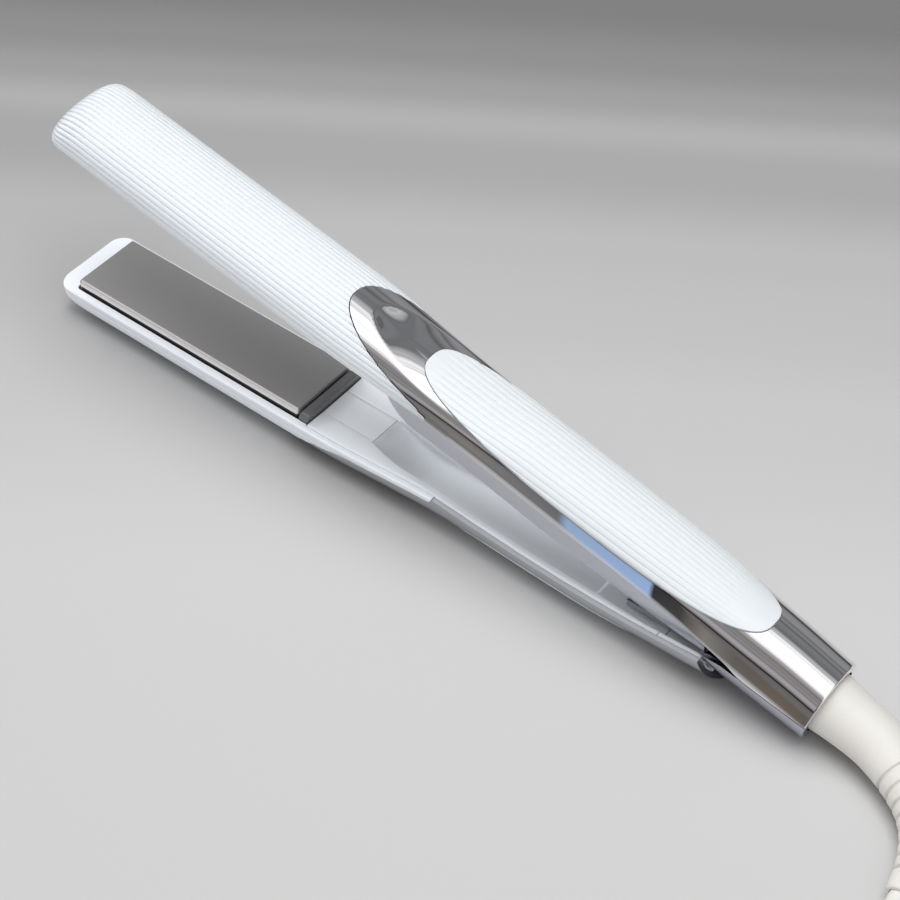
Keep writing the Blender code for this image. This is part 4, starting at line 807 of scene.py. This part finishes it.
# front wall, curved about the hinge pin and slotted for the hinge arm
wall = [((LIP_R + 0.5) * math.cos(f), (LIP_R + 0.5) * math.sin(f)) for f in np.radians(np.linspace(-165.5, -107.5, 40))]
wall += [((LIP_R - 1.3) * math.cos(f), (LIP_R - 1.3) * math.sin(f)) for f in np.radians(np.linspace(-107.5, -165.5, 40))]
front = prism_y("c", wall, -30, 30)
core = []
for x in xs_range(-26.0, 10.0, 2.0):
    p = lower_half(x, 0.7, 61)
    p[0, 1] += 0.4
    p[-1, 1] += 0.4
    core.append(np.column_stack([np.full(len(p), x), p]))
boolean(front, grid_solid("c", core), "INTERSECT")
boolean(front, box_solid("c", (-30, -5.2, -15.3), (0, 5.2, 0)))
boolean(barrel, front, "UNION")
lip = [(-60.0, 6.0), (-60.0, -40.0), (LIP_R * math.cos(math.radians(-62)), -40.0)]
for i in range(41):
    f = math.radians(-62 - (180 - 62 - 19.5) * i / 40)
    lip.append((LIP_R * math.cos(f), LIP_R * math.sin(f)))
lip += [(-13.5, -5.2), (-8.2, -5.15), (-8.2, 6.0)]
boolean(barrel, prism_y("c", lip, -30, 30))
plated_normals(barrel, False)
# the barrel's lower cover takes the darker, bluer copy of the chrome plating: painted shade and painted reflection
place(barrel, "upper_arm", "chrome_barrel", "barrel_lower_cover", sm=False)


# ---------------------------------------------------------------- heat plates and frames
def plate_set(prefix, s, plate_body, arm):
    w = PLATE_W
    top_pts = fillet([(-w, 5.8), (-w, 2.35), (-w, 0.95), (-w + 0.65, FACE), (w - 0.65, FACE), (w, 0.95), (w, 2.35), (w, 5.8)], [0, 0, 0.35, 0.28, 0.28, 0.35, 0, 0], 5)
    under = np.array([(w - 2, 5.8), (w - 2, 1.9), (-w + 2, 1.9), (-w + 2, 5.8)])
    rings = []
    for d, drop, pull in ((0.0, 0.62, 0.55), (0.12, 0.3, 0.3), (0.4, 0.08, 0.1), (0.75, 0.0, 0.0)):
        p = top_pts.copy()
        p[:, 1] = np.maximum(p[:, 1], FACE + drop)
        p[:, 0] -= np.sign(p[:, 0]) * pull
        rings.append((d, np.vstack([p, under])))
    R = [np.column_stack([np.full(len(p), PLATE_X0 + d), p[:, 0], s * p[:, 1]]) for d, p in rings]
    R += [np.column_stack([np.full(len(p), PLATE_X1 - d), p[:, 0], s * p[:, 1]]) for d, p in reversed(rings)]
    ob = grid_solid(prefix + "_heat_plate", R)
    ob.data.materials.append(MAT["plate"])
    # the plate's long sides are painted: the upper band takes the lighter finish as a painted highlight, the lower band
    # black as painted shade by the frame's gap
    side = []
    for poly in ob.data.polygons:
        c, nn = poly.center / MM, poly.normal
        painted_side = abs(c.y) > w - 0.72 and abs(nn.y) > 0.2 and abs(c.x - PLATE_X0) > 0.6
        side.append(0 if not painted_side else 2 if abs(c.z) > 2.4 else 1)
    place(ob, plate_body, ["plate", "plate_edge_highlight", "black"], prefix + "_heat_plate", angle=28)
    for poly, k in zip(ob.data.polygons, side):
        poly.material_index = k
    out = [(-12.75, 4.75), (12.75, 4.75), (12.75, 6.6), (10.8, 10.0), (-10.8, 10.0), (-12.75, 6.6)]
    fr = grid_solid(prefix + "_plate_frame", [[(x, y, s * z) for y, z in out] for x in (-255.35, FRAME_X1)])
    lw = MOUTH_W - 0.25
    prof = fillet([(-lw, 6.0), (-lw, 2.6), (-lw + 1.3, LIP_TOP), (lw - 1.3, LIP_TOP), (lw, 2.6), (lw, 6.0)], [0, 0.9, 0.9, 0.9, 0.9, 0], 7)
    R = []
    for d, drop in ((0.0, 0.75), (0.07, 0.42), (0.22, 0.2), (0.5, 0.05), (0.8, 0.0)):
        p = prof.copy()
        k = np.clip((6.0 - p[:, 1]) / 3.0, 0, 1)
        p[:, 1] += drop * k
        R.append((d, p))
    rows = [(PLATE_X1 + 0.45 + d, p) for d, p in R] + [(FRAME_X1 - d, p) for d, p in reversed(R)]
    lipbar = grid_solid("c", [np.column_stack([np.full(len(p), x), p[:, 0], s * p[:, 1]]) for x, p in rows])
    boolean(fr, lipbar, "UNION")
    bay = [(-12.4, 0.5), (12.4, 0.5), (12.4, 6.4), (10.4, 9.0), (-10.4, 9.0), (-12.4, 6.4)]
    boolean(fr, grid_solid("c", [[(x, y, s * z) for y, z in bay] for x in (PLATE_X0 - 0.45, PLATE_X1 + 0.45)]))
    boolean(fr, cylinder("c", (-170, 4, s * 6), (-170, 4, s * 14), 1.6, 32))
    place(fr, arm, "frame", prefix + "_plate_frame", angle=30)


plate_set("upper", 1, "upper_plate", "upper_arm")
plate_set("lower", -1, "lower_plate", "lower_arm")

# ---------------------------------------------------------------- lower arm inner panel, with the pocket
POCKET_X0 = -141.0
pocket_w = law([(POCKET_X0, 5.6), (-134.0, 7.3), (-128.0, 8.2), (-100.0, 8.4), (-60.0, 8.5), (-40.0, 9.0), (-18.0, 9.2)])
skirt_w = law([(-137.2, 6.2), (-134.0, 6.9), (-128.0, 7.8), (-100.0, 8.0), (-60.0, 8.1), (-40.0, 8.6), (-12.5, 8.8)])
skirt_ramp = law([(-137.2, 5.3), (-133.0, 8.0), (-127.0, 10.4), (-121.0, 13.0)])


def inset_width(x, inset, z):
    a, T, c = float(low_w(x)) - inset, float(low_top(x)) - inset, float(low_mid(x))
    z = np.asarray(z, float)
    return np.where(z <= c, a, a * np.maximum(1 - np.clip((z - c) / (T - c), 0, 1) ** POW, 0.0) ** (1 / POW))


def skirt_depth(x):
    xl = max(x, -137.2)
    a, T, c = float(low_w(xl)) - STACK, float(low_top(xl)) - STACK, float(low_mid(xl))
    z = c + (T - c) * max(1 - (float(skirt_w(xl)) / a) ** POW, 0.0) ** (1 / POW)
    r = float(skirt_ramp(xl))
    # the ramp runs into the full depth over a soft knee
    return -0.6 * math.log(math.exp(-r / 0.6) + math.exp(-z / 0.6)) if r > 6 else r


def pocket_depth(x):
    if x < -137.2:
        t = min(max((x - POCKET_X0) / (-137.2 - POCKET_X0), 0.0), 1.0)
        t = t * t * (3 - 2 * t)
        return 4.3 + (skirt_depth(-137.2) + 0.6 - 4.3) * t
    d = skirt_depth(x) + 0.6
    return max(d, 11.05) if x > -60.0 else d


def pocket_line(x, wide, inset, top_z, floor, n, r=0.0):
    z = np.linspace(top_z, floor, 120)
    y = np.minimum(wide, inset_width(x, inset, z))
    line = np.column_stack([-y, z])
    line = np.vstack([line, [-5.9, floor]])
    if r:
        # a soft corner between wall and floor
        seg = np.hypot(*np.diff(line, axis=0).T)
        d = np.concatenate([[0], np.cumsum(seg)])
        q = np.linspace(0, d[-1], 160)
        P = np.column_stack([np.interp(q, d, line[:, 0]), np.interp(q, d, line[:, 1])])
        k = max(int(r / max(d[-1] / 159, 1e-6)), 1)
        ker = np.ones(2 * k + 1) / (2 * k + 1)
        pad = np.vstack([2 * P[0] - P[1:k + 1][::-1], P, 2 * P[-1] - P[-k - 1:-1][::-1]])
        line = np.column_stack([np.convolve(pad[:, i], ker, "valid") for i in range(2)])
    return along(line, np.linspace(0, 1, n))[0]


def panel_ring(x, n=26):
    a = float(low_w(x)) - float(np.interp(x, [TAIL_X - 0.1, TAIL_X + 0.1], [SHELL_WALL, COVER_WALL])) - GAP
    rim = float(low_rim(x))
    zr = rim + 0.15
    pocket = x > POCKET_X0
    pw = float(pocket_w(x))
    shoulder = rim + 0.35
    blend = float(np.clip((x + 150.0) / 12.0, 0, 1))
    if pocket:
        zf = max(pocket_depth(x), shoulder + 0.45)
        mid_z = zf if x < -59.0 else 11.05
        inner = pocket_line(x, pw, STACK - GAP, shoulder + 0.3, zf, n, 0.5)
        outer = pocket_line(x, pw + PANEL_WALL, STACK - GAP - PANEL_WALL, shoulder + 1.3, zf + PANEL_WALL + 0.4, n)
    else:
        zf = mid_z = shoulder
        inner = np.column_stack([-5.58 + 0.01 * np.arange(n), np.full(n, shoulder + 0.02)])
        outer = np.column_stack([-6.2 + 0.01 * np.arange(n), np.full(n, 5.0)])
    rise = 0.06
    near_top = np.vstack([[(-a, zr + 0.22), (-a + 0.06, zr + 0.09), (-a + 0.24, zr), (-a + 1.2, zr - 0.02), ((-a - pw) / 2, (zr + shoulder) / 2 - rise), (-pw - 1.3, shoulder - 0.06), (-pw - 0.5, shoulder), (-pw - 0.18, shoulder + 0.08)],
                          inner, [(-5.5, mid_z if pocket else shoulder + 0.02)]])
    near_bot = np.vstack([[(-a, zr + 1.1), (-pw - PANEL_WALL - 0.2, shoulder + 0.95 if pocket else 5.0)], outer, [(-5.5, mid_z + PANEL_WALL if pocket else 5.0)]])
    flip = np.array([-1, 1])
    ring = np.vstack([near_top, near_top[::-1] * flip, near_bot * flip, near_bot[::-1]])
    return np.column_stack([np.full(len(ring), x), ring[:, 0], -ring[:, 1]])


pxs = [-160.2, -156.0, -152.0, -148.0, -145.0, POCKET_X0, -140.9] + xs_range(-140.4, -127.0, 0.9) + xs_range(-126.0, -114.0, 1.5) + [TAIL_X - 0.1, TAIL_X + 0.1] + xs_range(-112.0, -60.0, 2.6) + [-58.5] + xs_range(-56.0, -35.6, 3.4)
pan = grid_solid("lower_inner_panel", [panel_ring(x) for x in pxs])
boolean(pan, cylinder("c", (-54.5, 2.8, -7), (-54.5, 2.8, -14), 1.25, 32))
boolean(pan, cylinder("c", (-46.5, 0, -7), (-46.5, 0, -14), 1.15, 32))
place(pan, "lower_arm", "panel", "lower_inner_panel", angle=32)
trim = grid_solid("lower_rear_trim", [panel_ring(x) for x in xs_range(-35.3, -18.0, 1.7)])
boolean(trim, cylinder("c", (0, -30, 0), (0, 30, 0), LOW_END_R + 0.2, 128))
place(trim, "lower_arm", "panel", "lower_rear_trim", angle=32)

# ---------------------------------------------------------------- upper inner panel, buttons, light window
up_w = law([(-165, 12.4), (-154, 12.4), (-146, 12.2), (-138, 11.7), (-128, 11.1), (-118, 10.6), (-108, 10.3), (-60, 10.0), (-30, 8.6)])
upan = grid_solid("upper_inner_panel", [[(x, y, z) for y, z in ((-up_w(x), 3.95), (-up_w(x) + 0.15, 3.8), (up_w(x) - 0.15, 3.8), (up_w(x), 3.95), (up_w(x), 5.0), (-up_w(x), 5.0))]
                                        for x in xs_range(-160.2, -30.0, 4.0)])
BTN_X = -148.5
for nm, y in (("power_button", -6.6), ("temp_up_button", 0.0), ("temp_down_button", 6.6)):
    boolean(upan, cylinder("c", (BTN_X, y, 2), (BTN_X, y, 7), 2.45, 64))
    prof = [(0.0, 6.0), (2.85, 6.0), (2.85, 5.4), (2.1, 5.4), (2.1, 3.55), (2.02, 3.25), (1.8, 3.06), (1.4, 2.98), (0.9, 3.02), (0.0, 3.05)]
    bm = bmesh.new()
    vs = [bm.verts.new((r * MM, 0, z * MM)) for r, z in prof]
    for a, b in zip(vs[:-1], vs[1:]):
        bm.edges.new((a, b))
    bmesh.ops.spin(bm, geom=list(bm.verts) + list(bm.edges), cent=(0, 0, 0), axis=(0, 0, 1), angle=2 * math.pi, steps=48, use_merge=True)
    bmesh.ops.remove_doubles(bm, verts=bm.verts, dist=1e-6)
    bmesh.ops.recalc_face_normals(bm, faces=bm.faces)
    bmesh.ops.translate(bm, vec=Vector((BTN_X, y, 0)) * MM, verts=bm.verts)
    me = bpy.data.meshes.new(nm)
    bm.to_mesh(me)
    bm.free()
    place(new_object(nm, me), nm, "satin", nm, angle=40)
boolean(upan, box_solid("c", (-156.2, -3.4, 2), (-153.8, 3.4, 7)))
place(upan, "upper_arm", "panel", "upper_inner_panel", angle=30)

# ---------------------------------------------------------------- hinge skirt
flange_w = linear([(-113.0, 0.3), (-105.0, 2.6), (-60.0, 2.4), (-30.0, 1.4), (-22.0, 0.6), (-12.5, 0.3)])


def skirt_ring(x):
    w, d = float(skirt_w(x)), skirt_depth(x)
    fw = w + float(flange_w(x))
    near = fillet([(-fw, 3.5), (-fw, 2.3), (-w, 2.25), (-w, -d), (-w + SKIRT_WALL, -d), (-w + SKIRT_WALL, 2.3), (0.0, 2.3)], [0, 0.1, 0.1, 0.35, 0.25, 0.1, 0], 5)[:-1]
    ring = np.vstack([near, near[::-1] * np.array([-1, 1])])
    return np.column_stack([np.full(len(ring), x), ring[:, 0], ring[:, 1]])


sk = grid_solid("hinge_skirt", [skirt_ring(x) for x in [-137.2, -136.6, -135.8] + xs_range(-135.0, -113.0, 1.1) + xs_range(-110.0, -12.5, 2.5)])
heel = [(-21.3, -4.7)] + [((LIP_R + 0.4) * math.cos(f), (LIP_R + 0.4) * math.sin(f)) for f in np.radians(np.linspace(-165, -137, 24))] + [(-10.0, -18.0), (-10.0, -4.7)]
boolean(sk, prism_y("c", heel, -30, 30))
place(sk, "upper_arm", "satin", "hinge_skirt", angle=35)

# ---------------------------------------------------------------- cord, boot
CORD_PATH = [(12.0, 0.0, -7.6), (20.0, -0.5, -9.1), (28.5, -1.4, -10.5), (35.6, -3.7, -11.45), (41.5, -6.7, -12.1), (46.6, -10.2, -12.65), (50.6, -14.2, -13.1),
             (53.8, -19.0, -13.6), (56.2, -25.0, -14.3), (57.8, -32.0, -15.2), (58.6, -40.0, -16.1), (58.8, -49.0, -16.6), (58.2, -58.0, -16.7), (56.6, -68.0, -16.7), (54.0, -78.0, -16.65)]


def smooth_path(pts, n):
    P = [Vector(p) for p in pts]
    P = [P[0] * 2 - P[1]] + P + [P[-1] * 2 - P[-2]]
    out = []
    for i in range(1, len(P) - 2):
        for k in range(n):
            t = k / n
            a, b, c, d = P[i - 1], P[i], P[i + 1], P[i + 2]
            out.append(0.5 * ((2 * b) + (c - a) * t + (2 * a - 5 * b + 4 * c - d) * t * t + (3 * b - a - 3 * c + d) * t ** 3))
    out.append(P[-2])
    return out


TO_CORD = M_CORD.inverted() @ M_LOW
path = [(TO_CORD @ (Vector(p) * MM)) / MM for p in smooth_path(CORD_PATH, 24)]
arc = [0.0]
for p, q in zip(path[:-1], path[1:]):
    arc.append(arc[-1] + (q - p).length)
arc_n, path_n = np.array(arc), np.array([tuple(p) for p in path])


def path_at(s):
    p = np.array([np.interp(s, arc_n, path_n[:, k]) for k in range(3)])
    a = np.array([np.interp(max(s - 1.2, 0), arc_n, path_n[:, k]) for k in range(3)])
    b = np.array([np.interp(min(s + 1.2, arc_n[-1]), arc_n, path_n[:, k]) for k in range(3)])
    return Vector(p), Vector(b - a).normalized()


def tube(name, stations, seg):
    side = Vector((0, 1, 0))
    rings = []
    for s, r in stations:
        p, t = path_at(s)
        if s < 2.0:
            t = Vector((1, 0, 0))
        n = (side - t * side.dot(t)).normalized()
        side = n
        b = t.cross(n)
        rings.append([tuple(p + n * (r * math.cos(2 * math.pi * k / seg)) + b * (r * math.sin(2 * math.pi * k / seg))) for k in range(seg)])
    return grid_solid(name, rings)


BOOT_L = 66.0
boot_r = law([(0, 9.1), (5, 8.6), (10, 8.2), (18, 7.9), (27, 7.4), (45, 6.0), (BOOT_L, 4.5)])
st = [(0.9, float(boot_r(0)))] + [(s, float(boot_r(s))) for s in np.arange(2.0, 27.6, 1.0)]
for k in range(8):
    g = 29.0 + 4.35 * k
    r = float(boot_r(g))
    st += [(g - 1.3, r), (g - 0.95, r - 0.03), (g - 0.72, r - 0.14), (g - 0.60, r - 0.35), (g - 0.55, r - 0.75), (g - 0.4, r - 0.9), (g + 0.4, r - 0.9), (g + 0.55, r - 0.75),
           (g + 0.60, r - 0.35), (g + 0.72, r - 0.14), (g + 0.95, r - 0.03), (g + 1.3, float(boot_r(g + 1.3)))]
r = float(boot_r(BOOT_L))
st += [(BOOT_L - 0.9, r), (BOOT_L - 0.4, r - 0.12), (BOOT_L - 0.12, r - 0.35), (BOOT_L, r - 0.6)]
boot = tube("cord_boot", st, 72)
cord_in = BOOT_L - 6.0
boolean(boot, tube("c", [(cord_in - 0.5 + 1.5 * i, 3.4) for i in range(7)], 48))
place(boot, "cord", "boot", "cord_boot", angle=50)
far = BOOT_L + 3.0
end = float(arc_n[-1])
cord = tube("power_cord", [(cord_in + 0.75 * i, 3.15) for i in range(12)] + [(s, 3.15) for s in np.linspace(far, end - 0.3, 40)] + [(end, 3.0)], 48)
place(cord, "cord", "boot", "power_cord", angle=50)

# ---------------------------------------------------------------- CAD nodes that stay as they are: finishes only
STAY = {
    "steel": ("lower_hinge_arm", "hinge_yoke", "hinge_pin", "lower_heater_clip", "upper_heater_clip", "lower_panel_screw", "upper_panel_screw", "hinge_arm_screw"),
    "spring": ("hinge_spring",), "brass": ("hinge_bush_near", "hinge_bush_far"), "ceramic": ("lower_heater_strip", "upper_heater_strip", "thermal_fuse"),
    "silicone": ("lower_cushion_front", "lower_cushion_rear", "upper_cushion_front", "upper_cushion_rear"), "board": ("control_board",),
    "black": ("power_tact_switch", "temp_up_tact_switch", "temp_down_tact_switch", "lower_thermistor", "upper_thermistor", "mains_lead"),
    "wire": ("lower_heater_lead", "upper_heater_lead"), "frame": ("swivel_collar",), "lens": ("led_window",),
}
for key, names in STAY.items():
    for nm in names:
        o = frame["nodes"][nm]
        o.data.materials.clear()
        o.data.materials.append(MAT[key])
        o.data.shade_smooth()
        o.data.set_sharp_from_angle(angle=math.radians(35))

# ---------------------------------------------------------------- cushions and spring: copies of the CAD nodes, smoothed, finished and attached to their arms
def soft(nm, body, key):
    src = frame["nodes"][nm]
    me = src.data.copy()
    me.transform(src.matrix_world)
    ob = new_object(nm, me)
    ob.data.materials.clear()
    smooth(ob, 35)
    dress(ob, key)
    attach(ob, body)
    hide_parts(nm)
    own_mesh(ob)


for where in ("front", "rear"):
    soft("lower_cushion_" + where, "lower_arm", "silicone")
    soft("upper_cushion_" + where, "upper_arm", "silicone")
soft("hinge_spring", "lower_arm", "spring")

# ---------------------------------------------------------------- floor, light, camera
# floor colour ramp: painted shade, the floor darker away from the camera where the overhead light falls off
FLOOR_PAINTED_SHADE = [(-0.20, 0.625), (-0.05, 0.625), (0.031, 0.56), (0.075, 0.51), (0.105, 0.485), (0.140, 0.39), (0.150, 0.39), (0.163, 0.43), (0.180, 0.34), (0.200, 0.27), (0.230, 0.21), (0.30, 0.20)]


def floor_material():
    m = bpy.data.materials.new("floor")
    nt, ln, b = nodes_of(m)
    tc = nt.new("ShaderNodeTexCoord")
    mp = nt.new("ShaderNodeMapping")
    ln.new(tc.outputs["Object"], mp.inputs["Vector"])
    sp = nt.new("ShaderNodeSeparateXYZ")
    ln.new(mp.outputs["Vector"], sp.inputs["Vector"])
    cr = nt.new("ShaderNodeValToRGB")
    sx = nt.new("ShaderNodeMath")
    sx.operation = "MULTIPLY_ADD"
    sx.inputs[1].default_value = 0.097
    ln.new(sp.outputs["X"], sx.inputs[0])
    ln.new(sp.outputs["Y"], sx.inputs[2])
    mr = nt.new("ShaderNodeMapRange")
    mr.inputs["From Min"].default_value = -0.20
    mr.inputs["From Max"].default_value = 0.30
    ln.new(sx.outputs["Value"], mr.inputs["Value"])
    ln.new(mr.outputs["Result"], cr.inputs["Fac"])
    cr.color_ramp.interpolation = "EASE"
    e = cr.color_ramp.elements
    e[0].position, e[0].color = 0.0, (*[FLOOR_PAINTED_SHADE[0][1]] * 3, 1)
    e[1].position, e[1].color = 1.0, (*[FLOOR_PAINTED_SHADE[-1][1]] * 3, 1)
    for v, g in FLOOR_PAINTED_SHADE[1:-1]:
        k = cr.color_ramp.elements.new((v + 0.20) / 0.50)
        k.color = (g, g, g, 1)
    ln.new(cr.outputs["Color"], b.inputs["Base Color"])
    b.inputs["Roughness"].default_value = 0.55
    b.inputs["Specular IOR Level"].default_value = 0.25
    return m


# camera in the lower arm's frame (pivot origin, mm), turned with the lean
CAM_C = Vector((185.6, -362.8, 506.7))
FWD = Vector((-0.43793, 0.52624, -0.72890)).normalized()
RIGHT = Vector((0.77695, 0.62945, -0.01236))
RIGHT = (RIGHT - FWD * RIGHT.dot(FWD)).normalized()
UPV = RIGHT.cross(FWD)
R3 = Matrix((RIGHT, UPV, -FWD)).transposed().to_4x4()
cam = bpy.data.cameras.new("camera")
cam.sensor_width = 36.0
cam.lens = 2416.0 * 36.0 / 900.0
cam.clip_start = 0.01
cam_ob = bpy.data.objects.new("camera", cam)
SC.collection.objects.link(cam_ob)
cam_ob.matrix_world = M_LOW @ (Matrix.Translation(CAM_C * MM) @ R3)
SC.camera = cam_ob

# the floor's own axes: Y runs away from the camera along the table
view_flat = (cam_ob.matrix_world.to_3x3() @ Vector((0, 0, -1)))
yaw = math.atan2(view_flat.y, view_flat.x) - math.pi / 2
bm = bmesh.new()
bmesh.ops.create_grid(bm, x_segments=1, y_segments=1, size=4.0)
me = bpy.data.meshes.new("floor")
bm.to_mesh(me)
bm.free()
floor = new_object("floor", me)
floor.rotation_euler = (0, 0, yaw)
floor.location = (0.1, 0, -0.00005)
floor.data.materials.append(floor_material())


KEY_W, FILL_W, SIDE_W = 7.1, 3.7, 4.2


def area(name, loc, target, sx, sy, power, color=(1, 1, 1)):
    l = bpy.data.lights.new(name, "AREA")
    l.shape = "RECTANGLE"
    l.size, l.size_y = sx, sy
    l.energy = power
    l.color = color
    o = bpy.data.objects.new(name, l)
    SC.collection.objects.link(o)
    o.location = loc
    o.rotation_euler = (Vector(target) - Vector(loc)).to_track_quat("-Z", "Y").to_euler()
    return o


key = area("key", (0.15, 0.06, 1.1), (0.1, 0, 0), 0.9, 0.6, KEY_W)
fill = area("fill", (0.0, -1.0, 0.55), (0.12, 0, 0.02), 1.2, 0.5, FILL_W, (0.95, 0.96, 1.0))
side = area("side", (-0.85, 0.10, 0.42), (0.08, 0, 0.02), 0.5, 0.4, SIDE_W, (0.97, 0.98, 1.0))
for lamp in (key, fill, side):
    lamp.visible_glossy = False


def only(lamp, name, keep):
    """The lamp lights these objects alone, as a flagged lamp does in a studio."""
    col = bpy.data.collections.new(name)
    for ob_ in list(SC.objects):
        if ob_.type == "MESH" and not ob_.hide_render and keep(ob_.name):
            col.objects.link(ob_)
    lamp.light_linking.receiver_collection = col


only(fill, "fill_lights", lambda n: n != "floor")
only(side, "side_lights", lambda n: n.startswith(("lower_inner_panel", "lower_rear_trim", "lower_head_shell")))
w = bpy.data.worlds.new("studio")
SC.world = w
w.use_nodes = True
nt, ln = w.node_tree.nodes, w.node_tree.links
bg = nt["Background"]
tc = nt.new("ShaderNodeTexCoord")
sp = nt.new("ShaderNodeSeparateXYZ")
ln.new(tc.outputs["Generated"], sp.inputs["Vector"])


def sky_ramp(sock, lo_, hi_, stops):
    r = nt.new("ShaderNodeValToRGB")
    q = nt.new("ShaderNodeMapRange")
    q.inputs["From Min"].default_value = lo_
    q.inputs["From Max"].default_value = hi_
    ln.new(sock, q.inputs["Value"])
    ln.new(q.outputs["Result"], r.inputs["Fac"])
    e_ = r.color_ramp.elements
    e_[0].position, e_[0].color = 0.0, (*stops[0][1], 1)
    e_[1].position, e_[1].color = 1.0, (*stops[-1][1], 1)
    for v, c in stops[1:-1]:
        k_ = e_.new((v - lo_) / (hi_ - lo_))
        k_.color = (*c, 1)
    return r.outputs["Color"]


def mixed(kind, a, b_, fac=1.0):
    m_ = nt.new("ShaderNodeMix")
    m_.data_type = "RGBA"
    m_.blend_type = kind
    m_.inputs["Factor"].default_value = fac
    ln.new(a, m_.inputs[6])
    ln.new(b_, m_.inputs[7])
    return m_.outputs[2]


# across the object: dark far wall, bright overhead bank, dark room on the open side
across = sky_ramp(sp.outputs["Y"], -1.0, 1.0, [(-1.0, (0.34, 0.33, 0.34)), (-0.82, (0.20, 0.19, 0.19)), (-0.62, (0.17, 0.155, 0.15)), (-0.50, (0.34, 0.33, 0.33)), (-0.36, (0.80, 0.80, 0.82)), (-0.20, (0.95, 0.95, 0.95)),
                                               (0.10, (0.92, 0.92, 0.93)), (0.30, (0.74, 0.74, 0.75)), (0.42, (0.30, 0.30, 0.305)), (0.54, (0.12, 0.122, 0.125)), (1.0, (0.22, 0.22, 0.225))])
height = sky_ramp(sp.outputs["Z"], -0.1, 1.0, [(-0.1, (0.35, 0.35, 0.35)), (0.0, (0.12, 0.11, 0.11)), (0.07, (0.22, 0.21, 0.205)), (0.22, (0.75, 0.74, 0.73)), (0.5, (0.9, 0.9, 0.9)), (1.0, (1.0, 1.0, 1.0))])
st = nt.new("ShaderNodeMapping")
st.inputs["Scale"].default_value = (0.25, 5.0, 0.4)
ln.new(tc.outputs["Generated"], st.inputs["Vector"])
sn = nt.new("ShaderNodeTexNoise")
sn.inputs["Scale"].default_value = 2.2
sn.inputs["Detail"].default_value = 1
ln.new(st.outputs["Vector"], sn.inputs["Vector"])
streak = sky_ramp(sn.outputs["Fac"], 0.0, 1.0, [(0.0, (0.5, 0.5, 0.5)), (0.34, (0.62, 0.62, 0.62)), (0.48, (1.0, 1.0, 1.0)), (0.62, (1.1, 1.1, 1.1)), (1.0, (1.2, 1.2, 1.2))])
room = mixed("MULTIPLY", mixed("MULTIPLY", across, height), streak)
lp = nt.new("ShaderNodeLightPath")
plain = nt.new("ShaderNodeMix")
plain.data_type = "RGBA"
ln.new(lp.outputs["Is Camera Ray"], plain.inputs["Factor"])
ln.new(room, plain.inputs[6])
plain.inputs[7].default_value = (0.30, 0.30, 0.302, 1)
ln.new(plain.outputs[2], bg.inputs["Color"])
power = nt.new("ShaderNodeMath")
power.operation = "MULTIPLY_ADD"
ln.new(lp.outputs["Is Glossy Ray"], power.inputs[0])
power.inputs[1].default_value = 0.40
power.inputs[2].default_value = 1.15
ln.new(power.outputs["Value"], bg.inputs["Strength"])
SC.view_settings.view_transform = "Standard"
SC.view_settings.look = "None"
SC.view_settings.exposure = 0.0
